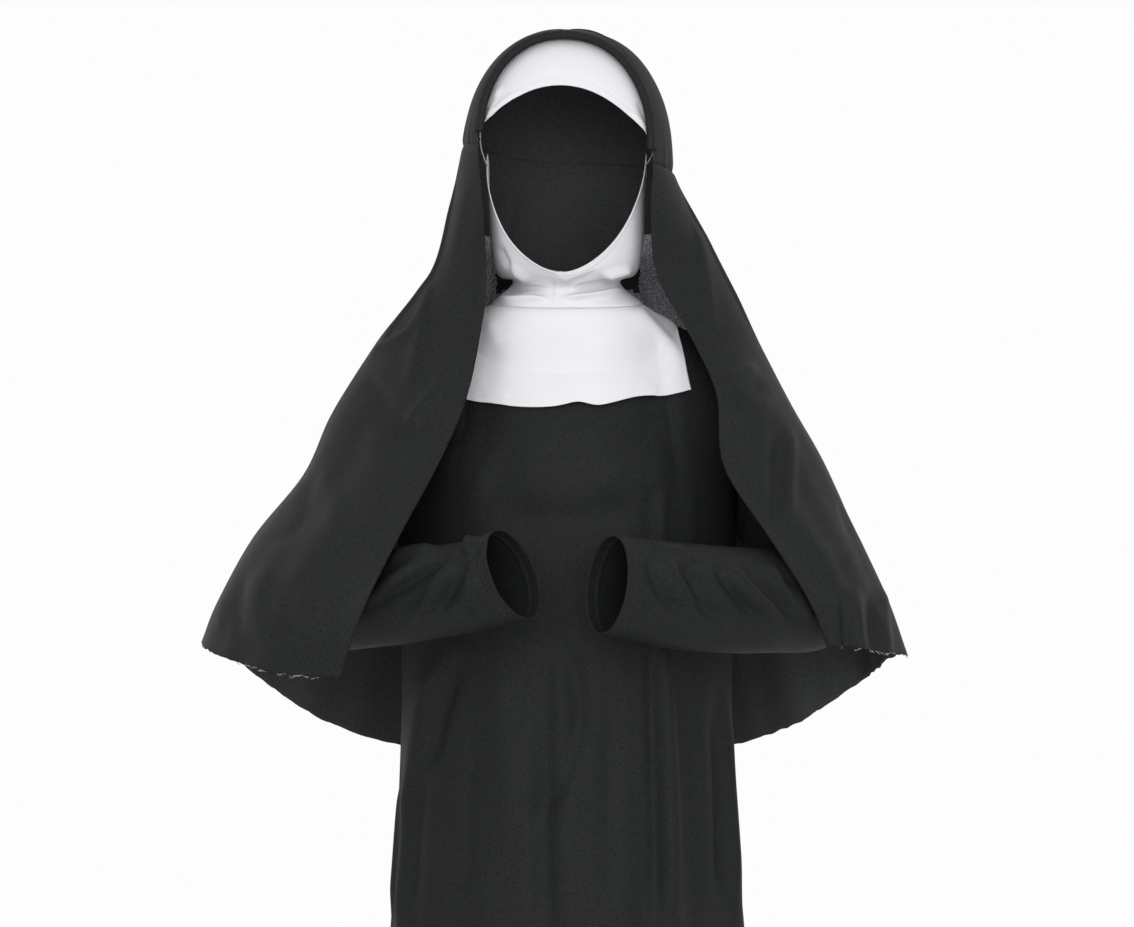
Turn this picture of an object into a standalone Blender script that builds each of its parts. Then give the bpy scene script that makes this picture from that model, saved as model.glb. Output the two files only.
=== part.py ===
"""Nun costume as worn: a long black habit, a white headband, a white wimple with its bib, and a black veil.

Metres, +Z up, the front faces -Y and +X is the viewer's right. The origin lies at the base of the wearer's
neck. Every piece is a wall of cloth between an outer surface, given by a function of two parameters, and the
same surface moved in by the cloth's thickness. The wearer isn't part of the model, so neck, face, cuffs and hem
are open.
"""
import math

import bmesh
import bpy
import numpy as np

# Cloth and seams
HABIT_CLOTH = 0.0020
VEIL_CLOTH = 0.0020
WHITE_CLOTH = 0.0016
SEAM_GAP = 0.0003
LAYER_GAP = 0.0014

# Habit: heights of its main lines and its armhole
HEM_Z = -1.320
ARMPIT_Z = -0.195
NECK_POINT = (0.080, 0.004, 0.014)
SHOULDER_TIP = (0.180, 0.004, -0.026)
ARMHOLE_BOTTOM = (0.163, 0.000, ARMPIT_Z)
FRONT_NECK_DEPTH = 0.050
BACK_NECK_DEPTH = 0.014
FRONT_NECK_REACH = 0.078
BACK_NECK_REACH = 0.064
NECKLINE_ROUNDNESS = 1.3
NECKLINE_SHARE = 0.45

# Handles of the curves from the neckline, the shoulder seam, the chest and the underarm: x, y towards the
# front or the back, z
NECK_HANDLE = (0.000, 0.026, -0.030)
SHOULDER_HANDLE = (-0.010, 0.060, -0.006)
CHEST_HANDLE = (0.000, 0.002, 0.075)
UNDERARM_HANDLE = (-0.006, 0.058, 0.008)

# Shares across the panel where the curves change from the neckline to the shoulder and on to the armhole
SHOULDER_FROM, SHOULDER_SPAN = 0.30, 0.25
ARMHOLE_FROM, ARMHOLE_SPAN = 0.55, 0.45
SQUARED_SHOULDER_SHARE = 0.37

# Head: the veil's crown is a rounded box shape on this centre
CROWN_CENTRE = (0.000, 0.000, 0.165)
CROWN_HALF = (0.101, 0.100, 0.125)
CROWN_ROUNDNESS = 2.2

# Mesh density, in cells
ARMHOLE_CELLS = 10
HABIT_FRONT_CELLS = (32, 12)
HABIT_BACK_CELLS = (24, 9)
SLEEVE_CELLS = (2 * ARMHOLE_CELLS, 15)
FALL_CELLS = (52, 17)
CROWN_FRONT_CELLS = 18
CROWN_BACK_CELLS = FALL_CELLS[0] // 2
CROWN_ROWS = 8
ROLL_CELLS = (26, 8)
HEADBAND_CELLS = (28, 4)
WIMPLE_CELLS = (40, 9)
BIB_CELLS = (18, 7)

# Rings of the habit below the armholes: height, half width, reach to the front and to the back
HABIT_RINGS = [
    # z, half_width, front, back
    (-0.195, 0.163, 0.124, 0.104),
    (-0.300, 0.160, 0.123, 0.106),
    (-0.420, 0.161, 0.124, 0.114),
    (-0.577, 0.172, 0.131, 0.126),
    (-0.800, 0.190, 0.143, 0.142),
    (-1.060, 0.212, 0.157, 0.158),
    (-1.320, 0.236, 0.172, 0.176),
]

# Folds of the skirt: angle from the centre front at the top and at the hem, height where the fold starts,
# how far it stands out (or sinks in) at the hem, and its half width in degrees
SKIRT_FOLDS = [
    # top, hem, start_z, out, half_width
    (34.0, 36.0, -0.270, 0.015, 9.0),
    (25.0, 25.0, -0.300, -0.009, 8.0),
    (-7.0, -6.0, -0.370, -0.010, 8.0),
    (6.0, 9.0, -0.520, 0.011, 10.0),
    (-27.0, -24.0, -0.480, 0.010, 10.0),
    (-45.0, -44.0, -0.340, -0.009, 9.0),
    (-66.0, -64.0, -0.330, 0.015, 11.0),
    (54.0, 57.0, -0.420, -0.008, 9.0),
    (72.0, 74.0, -0.330, 0.014, 10.0),
    (-88.0, -86.0, -0.400, -0.008, 9.0),
    (96.0, 97.0, -0.420, -0.009, 10.0),
    (116.0, 118.0, -0.300, 0.015, 11.0),
    (139.0, 137.0, -0.380, -0.010, 10.0),
    (158.0, 157.0, -0.330, 0.014, 11.0),
    (178.0, 177.0, -0.300, -0.011, 10.0),
    (-161.0, -162.0, -0.340, 0.015, 11.0),
    (-141.0, -143.0, -0.420, -0.009, 10.0),
    (-122.0, -122.0, -0.310, 0.016, 12.0),
    (-103.0, -104.0, -0.380, -0.007, 9.0),
]

# Sleeve sections, from the armhole to the cuff, with x counted outwards from the body's middle. The outer point
# runs over the shoulder and the elbow to the cuff's lower edge, the inner one from the underarm to its upper edge
SLEEVE_SECTIONS = {
    "sleeve_left": [
        # outer x, y, z, inner x, y, z, half_depth
        (0.180, 0.004, -0.026, 0.163, 0.000, -0.195, 0.047),
        (0.203, 0.004, -0.057, 0.172, 0.000, -0.208, 0.054),
        (0.234, 0.002, -0.125, 0.183, -0.006, -0.217, 0.056),
        (0.264, -0.002, -0.195, 0.193, -0.026, -0.220, 0.054),
        (0.276, -0.020, -0.266, 0.198, -0.058, -0.214, 0.050),
        (0.246, -0.072, -0.302, 0.184, -0.098, -0.210, 0.045),
        (0.186, -0.130, -0.305, 0.154, -0.142, -0.206, 0.041),
        (0.104, -0.186, -0.299, 0.100, -0.190, -0.200, 0.035),
        (0.028, -0.232, -0.281, 0.043, -0.238, -0.194, 0.031),
    ],
    "sleeve_right": [
        # outer x, y, z, inner x, y, z, half_depth
        (0.180, 0.004, -0.026, 0.163, 0.000, -0.195, 0.047),
        (0.208, 0.004, -0.060, 0.172, 0.000, -0.208, 0.054),
        (0.240, 0.002, -0.125, 0.184, -0.006, -0.217, 0.056),
        (0.272, -0.002, -0.195, 0.198, -0.026, -0.220, 0.054),
        (0.290, -0.020, -0.266, 0.208, -0.058, -0.216, 0.050),
        (0.256, -0.074, -0.300, 0.192, -0.098, -0.213, 0.045),
        (0.192, -0.130, -0.300, 0.160, -0.140, -0.208, 0.039),
        (0.106, -0.186, -0.287, 0.106, -0.190, -0.202, 0.035),
        (0.030, -0.230, -0.266, 0.066, -0.236, -0.190, 0.031),
    ],
}

# Sleeve folds: place along the sleeve and round it (0 is the outer line), how far out, half sizes, and its slant
SLEEVE_FOLDS = [
    # along, round, out, half_along, half_round, slant
    (0.60, 90.0, 0.006, 0.055, 70.0, 0.0010),
    (0.70, 100.0, -0.005, 0.040, 60.0, 0.0012),
    (0.80, 85.0, 0.006, 0.045, 65.0, 0.0012),
    (0.56, 275.0, 0.006, 0.050, 60.0, -0.0010),
    (0.74, 265.0, -0.005, 0.050, 60.0, -0.0010),
]

SLEEVE_SEAM_SPAN = 0.22
SLEEVE_STEPS = (0.5, 1e-3)
CENTRELINE_CELLS = 60

# Sections of the veil below the ears. For each: the front edge on the left and on the right of the view, the
# widest point on each side, the middle of the back, and how far round the cloth turns towards its front edges
FALL_SECTIONS = [
    # left edge x, y, z, left side x, y, z, back y, z,
    # right side x, y, z, right edge x, y, z, turn
    (-0.0850, -0.0586, 0.174, -0.1010, 0.000, 0.178, 0.100, 0.165,
     0.1030, 0.000, 0.152, 0.0820, -0.0634, 0.156, 36.0),
    (-0.0790, -0.0660, 0.108, -0.1130, 0.008, 0.116, 0.106, 0.100,
     0.1210, 0.008, 0.112, 0.0800, -0.0640, 0.104, 50.0),
    (-0.0765, -0.0640, 0.040, -0.1330, 0.012, 0.052, 0.112, 0.036,
     0.1500, 0.012, 0.058, 0.0860, -0.0560, 0.050, 62.0),
    (-0.0830, -0.0820, -0.014, -0.1840, 0.010, -0.010, 0.120, -0.036,
     0.1860, 0.010, -0.010, 0.1190, -0.0640, -0.012, 75.0),
    (-0.0950, -0.1150, -0.072, -0.2270, 0.004, -0.080, 0.130, -0.120,
     0.2180, 0.004, -0.074, 0.1400, -0.0980, -0.064, 85.0),
    (-0.1200, -0.1450, -0.132, -0.2540, 0.000, -0.138, 0.138, -0.205,
     0.2500, 0.000, -0.130, 0.1460, -0.1220, -0.132, 90.0),
    (-0.1560, -0.1980, -0.202, -0.3020, -0.006, -0.202, 0.146, -0.290,
     0.2820, -0.006, -0.202, 0.1880, -0.1520, -0.200, 90.0),
    (-0.1860, -0.2140, -0.266, -0.3360, -0.006, -0.262, 0.153, -0.366,
     0.3090, -0.006, -0.262, 0.2240, -0.1480, -0.258, 90.0),
    (-0.2060, -0.1980, -0.324, -0.3520, 0.002, -0.300, 0.160, -0.434,
     0.3270, 0.002, -0.314, 0.2400, -0.1400, -0.298, 88.0),
]
BACK_SQUARENESS = 0.30
LEFT_SIDE_SHARE = 0.24
RIGHT_SIDE_SHARE = 0.80

# Folds of the veil: place round it (0 is the left edge, 1 the right one) at the ears and at the hem, where down
# the veil the fold starts, how far it stands out at the hem, and its half width
VEIL_FOLDS = [
    # at_ears, at_hem, start, out, half_width
    (0.100, 0.110, 0.34, -0.007, 0.026),
    (0.160, 0.175, 0.40, 0.007, 0.030),
    (0.270, 0.262, 0.30, -0.009, 0.026),
    (0.330, 0.318, 0.22, 0.014, 0.034),
    (0.392, 0.380, 0.26, -0.012, 0.030),
    (0.440, 0.442, 0.20, 0.014, 0.034),
    (0.505, 0.505, 0.16, -0.014, 0.032),
    (0.560, 0.566, 0.20, 0.015, 0.034),
    (0.620, 0.628, 0.28, -0.012, 0.032),
    (0.680, 0.690, 0.22, 0.013, 0.034),
    (0.740, 0.752, 0.32, -0.009, 0.028),
    (0.860, 0.850, 0.42, 0.006, 0.026),
    (0.930, 0.915, 0.45, -0.006, 0.024),
]

# Crown: how far its front edge is lifted over the line between the ears, and how sharply it comes down to them
FRONT_EDGE_LIFT = (0.000, 0.012, 0.118)
EAR_SHARPNESS = 60

# Front roll of the veil: a rolled casing along the crown's front edge, between two shares of that edge
ROLL_FROM, ROLL_TO = 0.03, 0.97
ROLL_HALF_THICKNESS = 0.0042
ROLL_HALF_WIDTH = 0.0062
ROLL_LIFT = 0.0030
ROLL_GAP = 0.0002

# Headband
BAND_BOTTOM_Z = 0.227
BAND_BOTTOM_CURVE = 6.6
BAND_HALF_WIDTH = 0.084
BAND_TOP_HEIGHT = 0.107
BAND_END_Z = 0.1735
BAND_END_HEIGHT = 0.010
BAND_TOP_NARROWING = 0.045
BAND_TILT = 0.09
BAND_INSET = 0.0036
BAND_END = 0.97

# Wimple: guide rings from the face edge down to the seam with the bib. Jaw, neck and collar give the half width,
# the reach to the front and to the back, the height at the side, and how much higher (jaw's sides) or lower
# (the fronts of neck and collar) it lies elsewhere
FACE_MIDDLE_X = -0.006
FACE_HALF_WIDTH = 0.077
CHIN = (-0.100, 0.050)
EAR = (-0.013, 0.170)
NAPE = (0.066, 0.060)
JAW = (0.071, 0.093, 0.060, 0.043, 0.020)
NECK = (0.052, 0.076, 0.055, 0.047, 0.011)
COLLAR = (0.074, 0.080, 0.060, 0.0255, 0.008)
CHIN_ROUNDNESS = 0.90
CHEEK_ROUNDNESS = 0.92
NAPE_ROUNDNESS = 0.70
WIMPLE_STEPS = (1.0, 0.01)
DOWN_SHARE = -0.1

# Elastic loops between the headband's ends and the wimple
ELASTIC_CELLS = 6
ELASTIC_BAND_PLACE = 0.90
ELASTIC_WIMPLE_ANGLE = 82.0
ELASTIC_HALF_WIDTH = 0.0022
ELASTIC_HALF_THICKNESS = 0.0007
ELASTIC_BAND_GAP = 0.0018
ELASTIC_WIMPLE_GAP = 0.0026
ELASTIC_BOW = 0.0025

# Bib: its lower edge, in fractions of its half width
BIB_HALF_WIDTH = 0.1165
BIB_SHOULDER_X = 0.112
BIB_TURN = BIB_CELLS[0] * 180.0 / WIMPLE_CELLS[0]
BIB_KNEE_SHARE = 0.34
BIB_KNEE_INSET = 0.006
BIB_KNEE_TURN = 0.46
BIB_KNEE_DROP = 0.048
BIB_TOP_HANDLE = (0.012, -0.012, -0.008)
BIB_KNEE_HANDLE = 0.012
BIB_EDGE = [
    # place, z
    (-1.00, -0.061),
    (-0.78, -0.071),
    (-0.58, -0.074),
    (-0.38, -0.077),
    (-0.05, -0.076),
    (0.10, -0.072),
    (0.22, -0.076),
    (0.36, -0.073),
    (0.55, -0.067),
    (0.80, -0.066),
    (1.00, -0.060),
]


def clear_scene():
    for item in list(bpy.data.objects):
        bpy.data.objects.remove(item, do_unlink=True)


def material(name, colour, roughness):
    """A Principled material in the piece's own colour."""
    made = bpy.data.materials.get(name) or bpy.data.materials.new(name)
    made.use_nodes = True
    shader = made.node_tree.nodes["Principled BSDF"]
    shader.inputs["Base Color"].default_value = (*colour, 1.0)
    shader.inputs["Roughness"].default_value = roughness
    shader.inputs["Metallic"].default_value = 0.0
    return made


def curve_at(rows, share):
    """Point at a share from 0 to 1 of a smooth curve through the rows, which lie evenly along it."""
    rows = np.asarray(rows, float)
    last = len(rows) - 1
    place = min(max(share, 0.0), 1.0) * last
    first = min(int(place), last - 1)
    step = place - first
    start, end = rows[first], rows[first + 1]
    before = rows[first - 1] if first > 0 else 2 * start - end
    after = rows[first + 2] if first + 2 <= last else 2 * end - start
    square = 2 * before - 5 * start + 4 * end - after
    cube = 3 * (start - end) + after - before
    return start + 0.5 * step * (end - before + step * (square + step * cube))


def value_at(rows, key):
    """Row of a table at a value of its first column, on straight lines between the rows."""
    rows = np.asarray(rows, float)
    order = rows[np.argsort(rows[:, 0])]
    return np.array([np.interp(key, order[:, 0], order[:, column]) for column in range(1, order.shape[1])])


def soft_step(share):
    share = min(max(share, 0.0), 1.0)
    return share * share * (3.0 - 2.0 * share)


def bump(distance, half_width):
    """Soft ridge, 1 in the middle and 0 from half_width on."""
    if abs(distance) >= half_width:
        return 0.0
    return math.cos(0.5 * math.pi * distance / half_width) ** 2


def bezier(start, first, second, end, share):
    rest = 1.0 - share
    return rest**3 * start + 3 * rest**2 * share * first + 3 * rest * share**2 * second + share**3 * end


def unit(vector):
    return vector / np.linalg.norm(vector)


def surface_normal(surface, u, v, outward, steps=(1e-3, 1e-3)):
    """Unit normal of a surface, on the side that the vector function outward points to."""
    step_u, step_v = steps
    along_u = surface(u + step_u, v) - surface(u - step_u, v)
    low, high = max(v - step_v, 0.0), min(v + step_v, 1.0)
    along_v = surface(u, high) - surface(u, low)
    normal = np.cross(along_u, along_v)
    length = np.linalg.norm(normal)
    if length < 1e-14:
        return unit(outward(surface(u, v)))
    normal = normal / length
    return normal if np.dot(normal, outward(surface(u, v))) > 0 else -normal


def make_object(name, points, faces, finish):
    mesh = bpy.data.meshes.new(name)
    mesh.from_pydata([tuple(point) for point in points], [], faces)
    shape = bmesh.new()
    shape.from_mesh(mesh)
    bmesh.ops.recalc_face_normals(shape, faces=shape.faces)
    shape.to_mesh(mesh)
    shape.free()
    mesh.shade_smooth()
    mesh.materials.append(finish)
    made = bpy.data.objects.new(name, mesh)
    bpy.context.collection.objects.link(made)
    return made


def cloth_wall(name, surface, across, down, cloth, outward, finish,
               ring=False, pole=False, settle=None, steps=(1e-3, 1e-3)):
    """Closed wall of cloth behind a surface. A ring joins its last column to its first, a pole is one point
    at v=0, settle squares the wall's edges to the seams that they meet, and steps are for its normals."""
    columns, rows = len(across), len(down)
    outer, inner = [], []
    for row, v in enumerate(down):
        for column, u in enumerate(across):
            if pole and row == 0 and column > 0:
                break
            point = surface(u, v)
            at_pole = pole and row == 0
            normal = unit(outward(point)) if at_pole else surface_normal(surface, u, v, outward, steps)
            normal = settle(u, v, normal) if settle else normal
            outer.append(point)
            inner.append(point - cloth * normal)
    count = len(outer)

    def place(row, column):
        column = column % columns if ring else column
        if not pole:
            return row * columns + column
        return 0 if row == 0 else 1 + (row - 1) * columns + column

    faces = []
    for row in range(rows - 1):
        for column in range(columns if ring else columns - 1):
            corners = [place(row, column), place(row, column + 1),
                       place(row + 1, column + 1), place(row + 1, column)]
            corners = list(dict.fromkeys(corners))
            faces.append(corners)
            faces.append([count + corner for corner in reversed(corners)])
    edges = [(rows - 1, range(columns if ring else columns - 1))]
    if not pole:
        edges.append((0, range(columns if ring else columns - 1)))
    for row, spans in edges:
        for column in spans:
            first, second = place(row, column), place(row, column + 1)
            faces.append([first, second, count + second, count + first])
    if not ring:
        for column in (0, columns - 1):
            for row in range(rows - 1):
                first, second = place(row, column), place(row + 1, column)
                faces.append([first, second, count + second, count + first])
    return make_object(name, outer + inner, faces, finish)


def evenly(start, end, cells):
    return [start + (end - start) * index / cells for index in range(cells + 1)]


# Habit

def fold_height(angle, z):
    """How far the skirt stands out at an angle from the centre front, in degrees, and a height."""
    height = 0.0
    for top, hem, start_z, out, half_width in SKIRT_FOLDS:
        if z >= start_z:
            continue
        grown = (start_z - z) / (start_z - HEM_Z)
        middle = top + (hem - top) * grown
        distance = (angle - middle + 180.0) % 360.0 - 180.0
        height += out * grown**0.75 * bump(distance, half_width)
    return height


def habit_ring(angle, z):
    """Point of the habit below the armholes; angle is in degrees from the centre front towards +X."""
    half_width, front, back = value_at(HABIT_RINGS, z)
    turn = math.radians(angle)
    reach = front if math.cos(turn) >= 0.0 else back
    normal = unit(np.array([math.sin(turn) / half_width, -math.cos(turn) / reach, 0.0]))
    ring = np.array([half_width * math.sin(turn), -reach * math.cos(turn), z])
    return ring + fold_height(angle, z) * normal


def handle(sizes, facing):
    return np.array(sizes) * np.array([1.0, facing, 1.0])


def armhole(facing, share):
    """Armhole seam on the +X side, from the shoulder tip to the underarm; facing is -1 in front, 1 behind."""
    top, bottom = np.array(SHOULDER_TIP), np.array(ARMHOLE_BOTTOM)
    first = top + handle(SHOULDER_HANDLE, facing)
    second = bottom + handle(UNDERARM_HANDLE, facing)
    return bezier(top, first, second, bottom, share)


def bodice(facing, across, share):
    """Point of the habit above the armpits: across runs from -1 to 1 between the armholes, share from 0 at the
    shoulder seam and neckline to 1 at the armpits."""
    side = 1.0 if across >= 0.0 else -1.0
    place = min(abs(across), 1.0)
    neck_x, neck_y, neck_z = NECK_POINT
    depth = FRONT_NECK_DEPTH if facing < 0 else BACK_NECK_DEPTH
    reach = FRONT_NECK_REACH if facing < 0 else BACK_NECK_REACH
    if place >= NECKLINE_SHARE:
        along = (place - NECKLINE_SHARE) / (1.0 - NECKLINE_SHARE)
        top = np.array(NECK_POINT) + (np.array(SHOULDER_TIP) - np.array(NECK_POINT)) * along
    else:
        turn = 0.5 * math.pi * place / NECKLINE_SHARE
        drop = depth * math.cos(turn) ** NECKLINE_ROUNDNESS
        top = np.array([neck_x * math.sin(turn), neck_y + facing * reach * math.cos(turn), neck_z - drop])
    bottom = habit_ring(90.0 * place if facing < 0 else 180.0 - 90.0 * place, ARMPIT_Z)
    on_shoulder = soft_step((place - SHOULDER_FROM) / SHOULDER_SPAN)
    near_armhole = soft_step((place - ARMHOLE_FROM) / ARMHOLE_SPAN)
    neck_handle, chest_handle = handle(NECK_HANDLE, facing), handle(CHEST_HANDLE, facing)
    shoulder_handle = handle(SHOULDER_HANDLE, facing) * np.array([near_armhole, 1.0, 1.0])
    first = top + neck_handle + (shoulder_handle - neck_handle) * on_shoulder
    second = bottom + chest_handle + (handle(UNDERARM_HANDLE, facing) - chest_handle) * near_armhole
    point = bezier(top, first, second, bottom, share)
    return np.array([side * point[0], point[1], point[2]])


def habit_surface(facing, upper_share):
    """Surface of one habit panel: v runs from the shoulders at 0 over the armpits at upper_share to the hem at 1."""
    def surface(across, v):
        if v <= upper_share:
            return bodice(facing, across, v / upper_share)
        z = ARMPIT_Z + (HEM_Z - ARMPIT_Z) * (v - upper_share) / (1.0 - upper_share)
        angle = 90.0 * across if facing < 0 else 180.0 - 90.0 * across
        return habit_ring(angle, z)
    return surface


def habit_panel(name, facing, cells, finish):
    around, lower = cells
    upper_share = ARMHOLE_CELLS / (ARMHOLE_CELLS + lower)
    surface = habit_surface(facing, upper_share)

    def seamed(across, v):
        return surface(across, v) + np.array([0.0, facing * SEAM_GAP / 2, 0.0])

    def outward(point):
        return np.array([point[0], point[1] * 1.5, 0.25 if point[2] > -0.1 else 0.0])

    def square_to_seams(across, v, normal):
        at_shoulder = v == 0.0 and abs(across) > SQUARED_SHOULDER_SHARE
        at_side = abs(across) > 0.99 and v >= upper_share
        if at_shoulder or at_side:
            normal = normal * np.array([1.0, 0.0, 1.0])
        if abs(across) > 0.99 and v < upper_share and normal[0] * across < 0.0:
            normal = normal * np.array([0.0, 1.0, 1.0])
        return unit(normal)

    down = [upper_share * index / ARMHOLE_CELLS for index in range(ARMHOLE_CELLS)]
    down += [upper_share + (1.0 - upper_share) * index / lower for index in range(lower + 1)]
    return cloth_wall(name, seamed, evenly(-1.0, 1.0, around), down, HABIT_CLOTH, outward, finish,
                      settle=square_to_seams)


# Sleeves

def sleeve_folds(along, round_angle):
    height = 0.0
    for place, middle, out, half_along, half_round, slant in SLEEVE_FOLDS:
        distance = (round_angle - middle + 180.0) % 360.0 - 180.0
        height += out * bump(along - place - slant * distance, half_along) * bump(distance, half_round)
    return height


def sleeve_centre(sections, share):
    row = curve_at(sections, share)
    return 0.5 * (row[0:3] + row[3:6])


def sleeve_surface(sections):
    """Surface of a sleeve on the +X side: u is the angle round it, v runs from the armhole to the cuff."""
    def ring_point(u, v):
        row = curve_at(sections, v)
        outer, inner, half_depth = row[0:3], row[3:6], row[6]
        direction = sleeve_centre(sections, min(v + 0.02, 1.0)) - sleeve_centre(sections, max(v - 0.02, 0.0))
        up = 0.5 * (outer - inner)
        across = unit(np.cross(direction, up))
        turn = math.radians(u)
        radial = up * math.cos(turn) + across * half_depth * math.sin(turn)
        return 0.5 * (outer + inner) + radial + unit(radial) * sleeve_folds(v, u % 360.0)

    def surface(u, v):
        point = ring_point(u, v)
        at_seam = 1.0 - soft_step(v / SLEEVE_SEAM_SPAN)
        if at_seam > 0.0:
            lap = (u % 360.0) / 180.0
            seam = armhole(-1, lap) if lap <= 1.0 else armhole(1, 2.0 - lap)
            point = point + (seam - ring_point(u, 0.0)) * at_seam
        return point + np.array([SEAM_GAP, 0.0, 0.0])
    return surface


def sleeve(name, side, finish):
    sections = SLEEVE_SECTIONS[name]
    base = sleeve_surface(sections)
    mirror = np.array([side, 1.0, 1.0])
    around, along = SLEEVE_CELLS
    centres = [sleeve_centre(sections, share) for share in evenly(0.0, 1.0, CENTRELINE_CELLS)]
    centreline = np.array(centres) * mirror

    def surface(u, v):
        return base(u, v) * mirror

    def outward(point):
        nearest = np.argmin(np.linalg.norm(centreline - point, axis=1))
        return point - centreline[nearest]

    def square_to_armhole(u, v, normal):
        if v == 0.0 and normal[0] * side > 0.0:
            return unit(normal * np.array([0.0, 1.0, 1.0]))
        return normal

    angles = [360.0 * index / around for index in range(around)]
    return cloth_wall(name, surface, angles, evenly(0.0, 1.0, along), HABIT_CLOTH, outward, finish,
                      ring=True, settle=square_to_armhole, steps=SLEEVE_STEPS)


# Veil

def fall_base(place, share):
    """Point of the veil below the ears without its folds: place runs round it, share from the ears to the hem."""
    row = curve_at(FALL_SECTIONS, share)
    left_edge, left_side = row[0:3], row[3:6]
    back = np.array([0.0, row[6], row[7]])
    right_side, right_edge = row[8:11], row[11:14]
    most_turn = math.radians(row[14])
    if LEFT_SIDE_SHARE <= place <= RIGHT_SIDE_SHARE:
        if place <= 0.5:
            side, turn = left_side, 0.5 * math.pi * (place - LEFT_SIDE_SHARE) / (0.5 - LEFT_SIDE_SHARE)
        else:
            side, turn = right_side, 0.5 * math.pi * (RIGHT_SIDE_SHARE - place) / (RIGHT_SIDE_SHARE - 0.5)
        square = 1.0 - BACK_SQUARENESS * soft_step(share / 0.35)
        return np.array([
            side[0] * max(math.cos(turn), 0.0) ** square,
            side[1] + (back[1] - side[1]) * max(math.sin(turn), 0.0) ** square,
            side[2] + (back[2] - side[2]) * math.sin(turn) ** 2,
        ])
    if place < LEFT_SIDE_SHARE:
        side, edge, along = left_side, left_edge, (LEFT_SIDE_SHARE - place) / LEFT_SIDE_SHARE
    else:
        side, edge, along = right_side, right_edge, (place - RIGHT_SIDE_SHARE) / (1.0 - RIGHT_SIDE_SHARE)
    turn = most_turn * along
    width = (side[0] - edge[0]) / (1.0 - math.cos(most_turn))
    depth = (side[1] - edge[1]) / math.sin(most_turn)
    return np.array([
        side[0] - width * (1.0 - math.cos(turn)),
        side[1] - depth * math.sin(turn),
        side[2] + (edge[2] - side[2]) * (math.sin(turn) / math.sin(most_turn)) ** 2,
    ])


def veil_fold_height(place, share):
    height = 0.0
    for at_ears, at_hem, start, out, half_width in VEIL_FOLDS:
        if share <= start:
            continue
        grown = (share - start) / (1.0 - start)
        height += out * grown**0.7 * bump(place - at_ears - (at_hem - at_ears) * share, half_width)
    return height


def fall_outward(point):
    return np.array([point[0], point[1], 0.02])


def ear_seam(place):
    """Seam of crown and fall, straight between the crown's own corners."""
    cell = min(int(place * CROWN_BACK_CELLS), CROWN_BACK_CELLS - 1)
    start, end = fall_base(cell / CROWN_BACK_CELLS, 0.0), fall_base((cell + 1) / CROWN_BACK_CELLS, 0.0)
    return start + (end - start) * (place * CROWN_BACK_CELLS - cell)


def fall_surface(place, share):
    if share == 0.0:
        return ear_seam(place)
    height = veil_fold_height(place, share)
    point = fall_base(place, share)
    if height == 0.0:
        return point
    return point + height * surface_normal(fall_base, place, share, fall_outward)


def crown_radius(direction):
    shares = np.abs(direction / np.array(CROWN_HALF)) ** CROWN_ROUNDNESS
    return shares.sum() ** (-1.0 / CROWN_ROUNDNESS)


def front_edge(share):
    """Front edge of the crown, from the left ear at 0 over the top to the right ear at 1."""
    turn = math.pi * (share - 0.5)
    lift_off_seam = np.array([0.0, 0.0, SEAM_GAP])
    left, right = fall_base(0.0, 0.0) + lift_off_seam, fall_base(1.0, 0.0) + lift_off_seam
    middle = 0.5 * (left + right) + 0.5 * (right - left) * math.sin(turn)
    lift = np.array(FRONT_EDGE_LIFT) * math.cos(turn)
    direction = unit(middle + lift - np.array(CROWN_CENTRE))
    on_crown = np.array(CROWN_CENTRE) + direction * crown_radius(direction)
    at_ear = abs(math.sin(turn)) ** EAR_SHARPNESS
    return on_crown + (middle + lift - on_crown) * at_ear


def crown_edge(u):
    """Edge of the crown piece: from the left ear over the front at u = 0.5 to the right ear, then round the back."""
    if u < 1.0:
        return front_edge(u)
    return fall_base(2.0 - u, 0.0) + np.array([0.0, 0.0, SEAM_GAP])


def crown_surface(u, v):
    """Crown of the veil: v runs from its top at 0 to its edge at 1."""
    centre = np.array(CROWN_CENTRE)
    edge = crown_edge(u % 2.0) - centre
    reach = np.linalg.norm(edge)
    direction = edge / reach
    up = np.array([0.0, 0.0, 1.0])
    whole = math.acos(max(-1.0, min(1.0, float(direction @ up))))
    angle = whole * v
    side = unit(direction - up * (direction @ up))
    turned = up * math.cos(angle) + side * math.sin(angle)
    stretch = 1.0 + (reach / crown_radius(direction) - 1.0) * v**3
    return centre + turned * crown_radius(turned) * stretch


def crown_outward(point):
    return point - np.array(CROWN_CENTRE) + np.array([0.0, 0.0, 0.02])


def veil(finish):
    across = [index / CROWN_FRONT_CELLS for index in range(CROWN_FRONT_CELLS)]
    across += [1.0 + index / CROWN_BACK_CELLS for index in range(CROWN_BACK_CELLS)]
    down = [(index / CROWN_ROWS) ** 0.9 for index in range(CROWN_ROWS + 1)]

    def level_at_crown(u, v, normal):
        return unit(normal * np.array([1.0, 1.0, 0.0])) if v == 1.0 and (u == 0.0 or u >= 1.0) else normal

    def level_at_fall(place, share, normal):
        return unit(normal * np.array([1.0, 1.0, 0.0])) if share == 0.0 else normal

    cloth_wall("veil_crown", crown_surface, across, down, VEIL_CLOTH, crown_outward, finish,
               ring=True, pole=True, settle=level_at_crown)
    around, along = FALL_CELLS
    cloth_wall("veil_fall", fall_surface, evenly(0.0, 1.0, around), evenly(0.0, 1.0, along), VEIL_CLOTH,
               fall_outward, finish, settle=level_at_fall)


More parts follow.
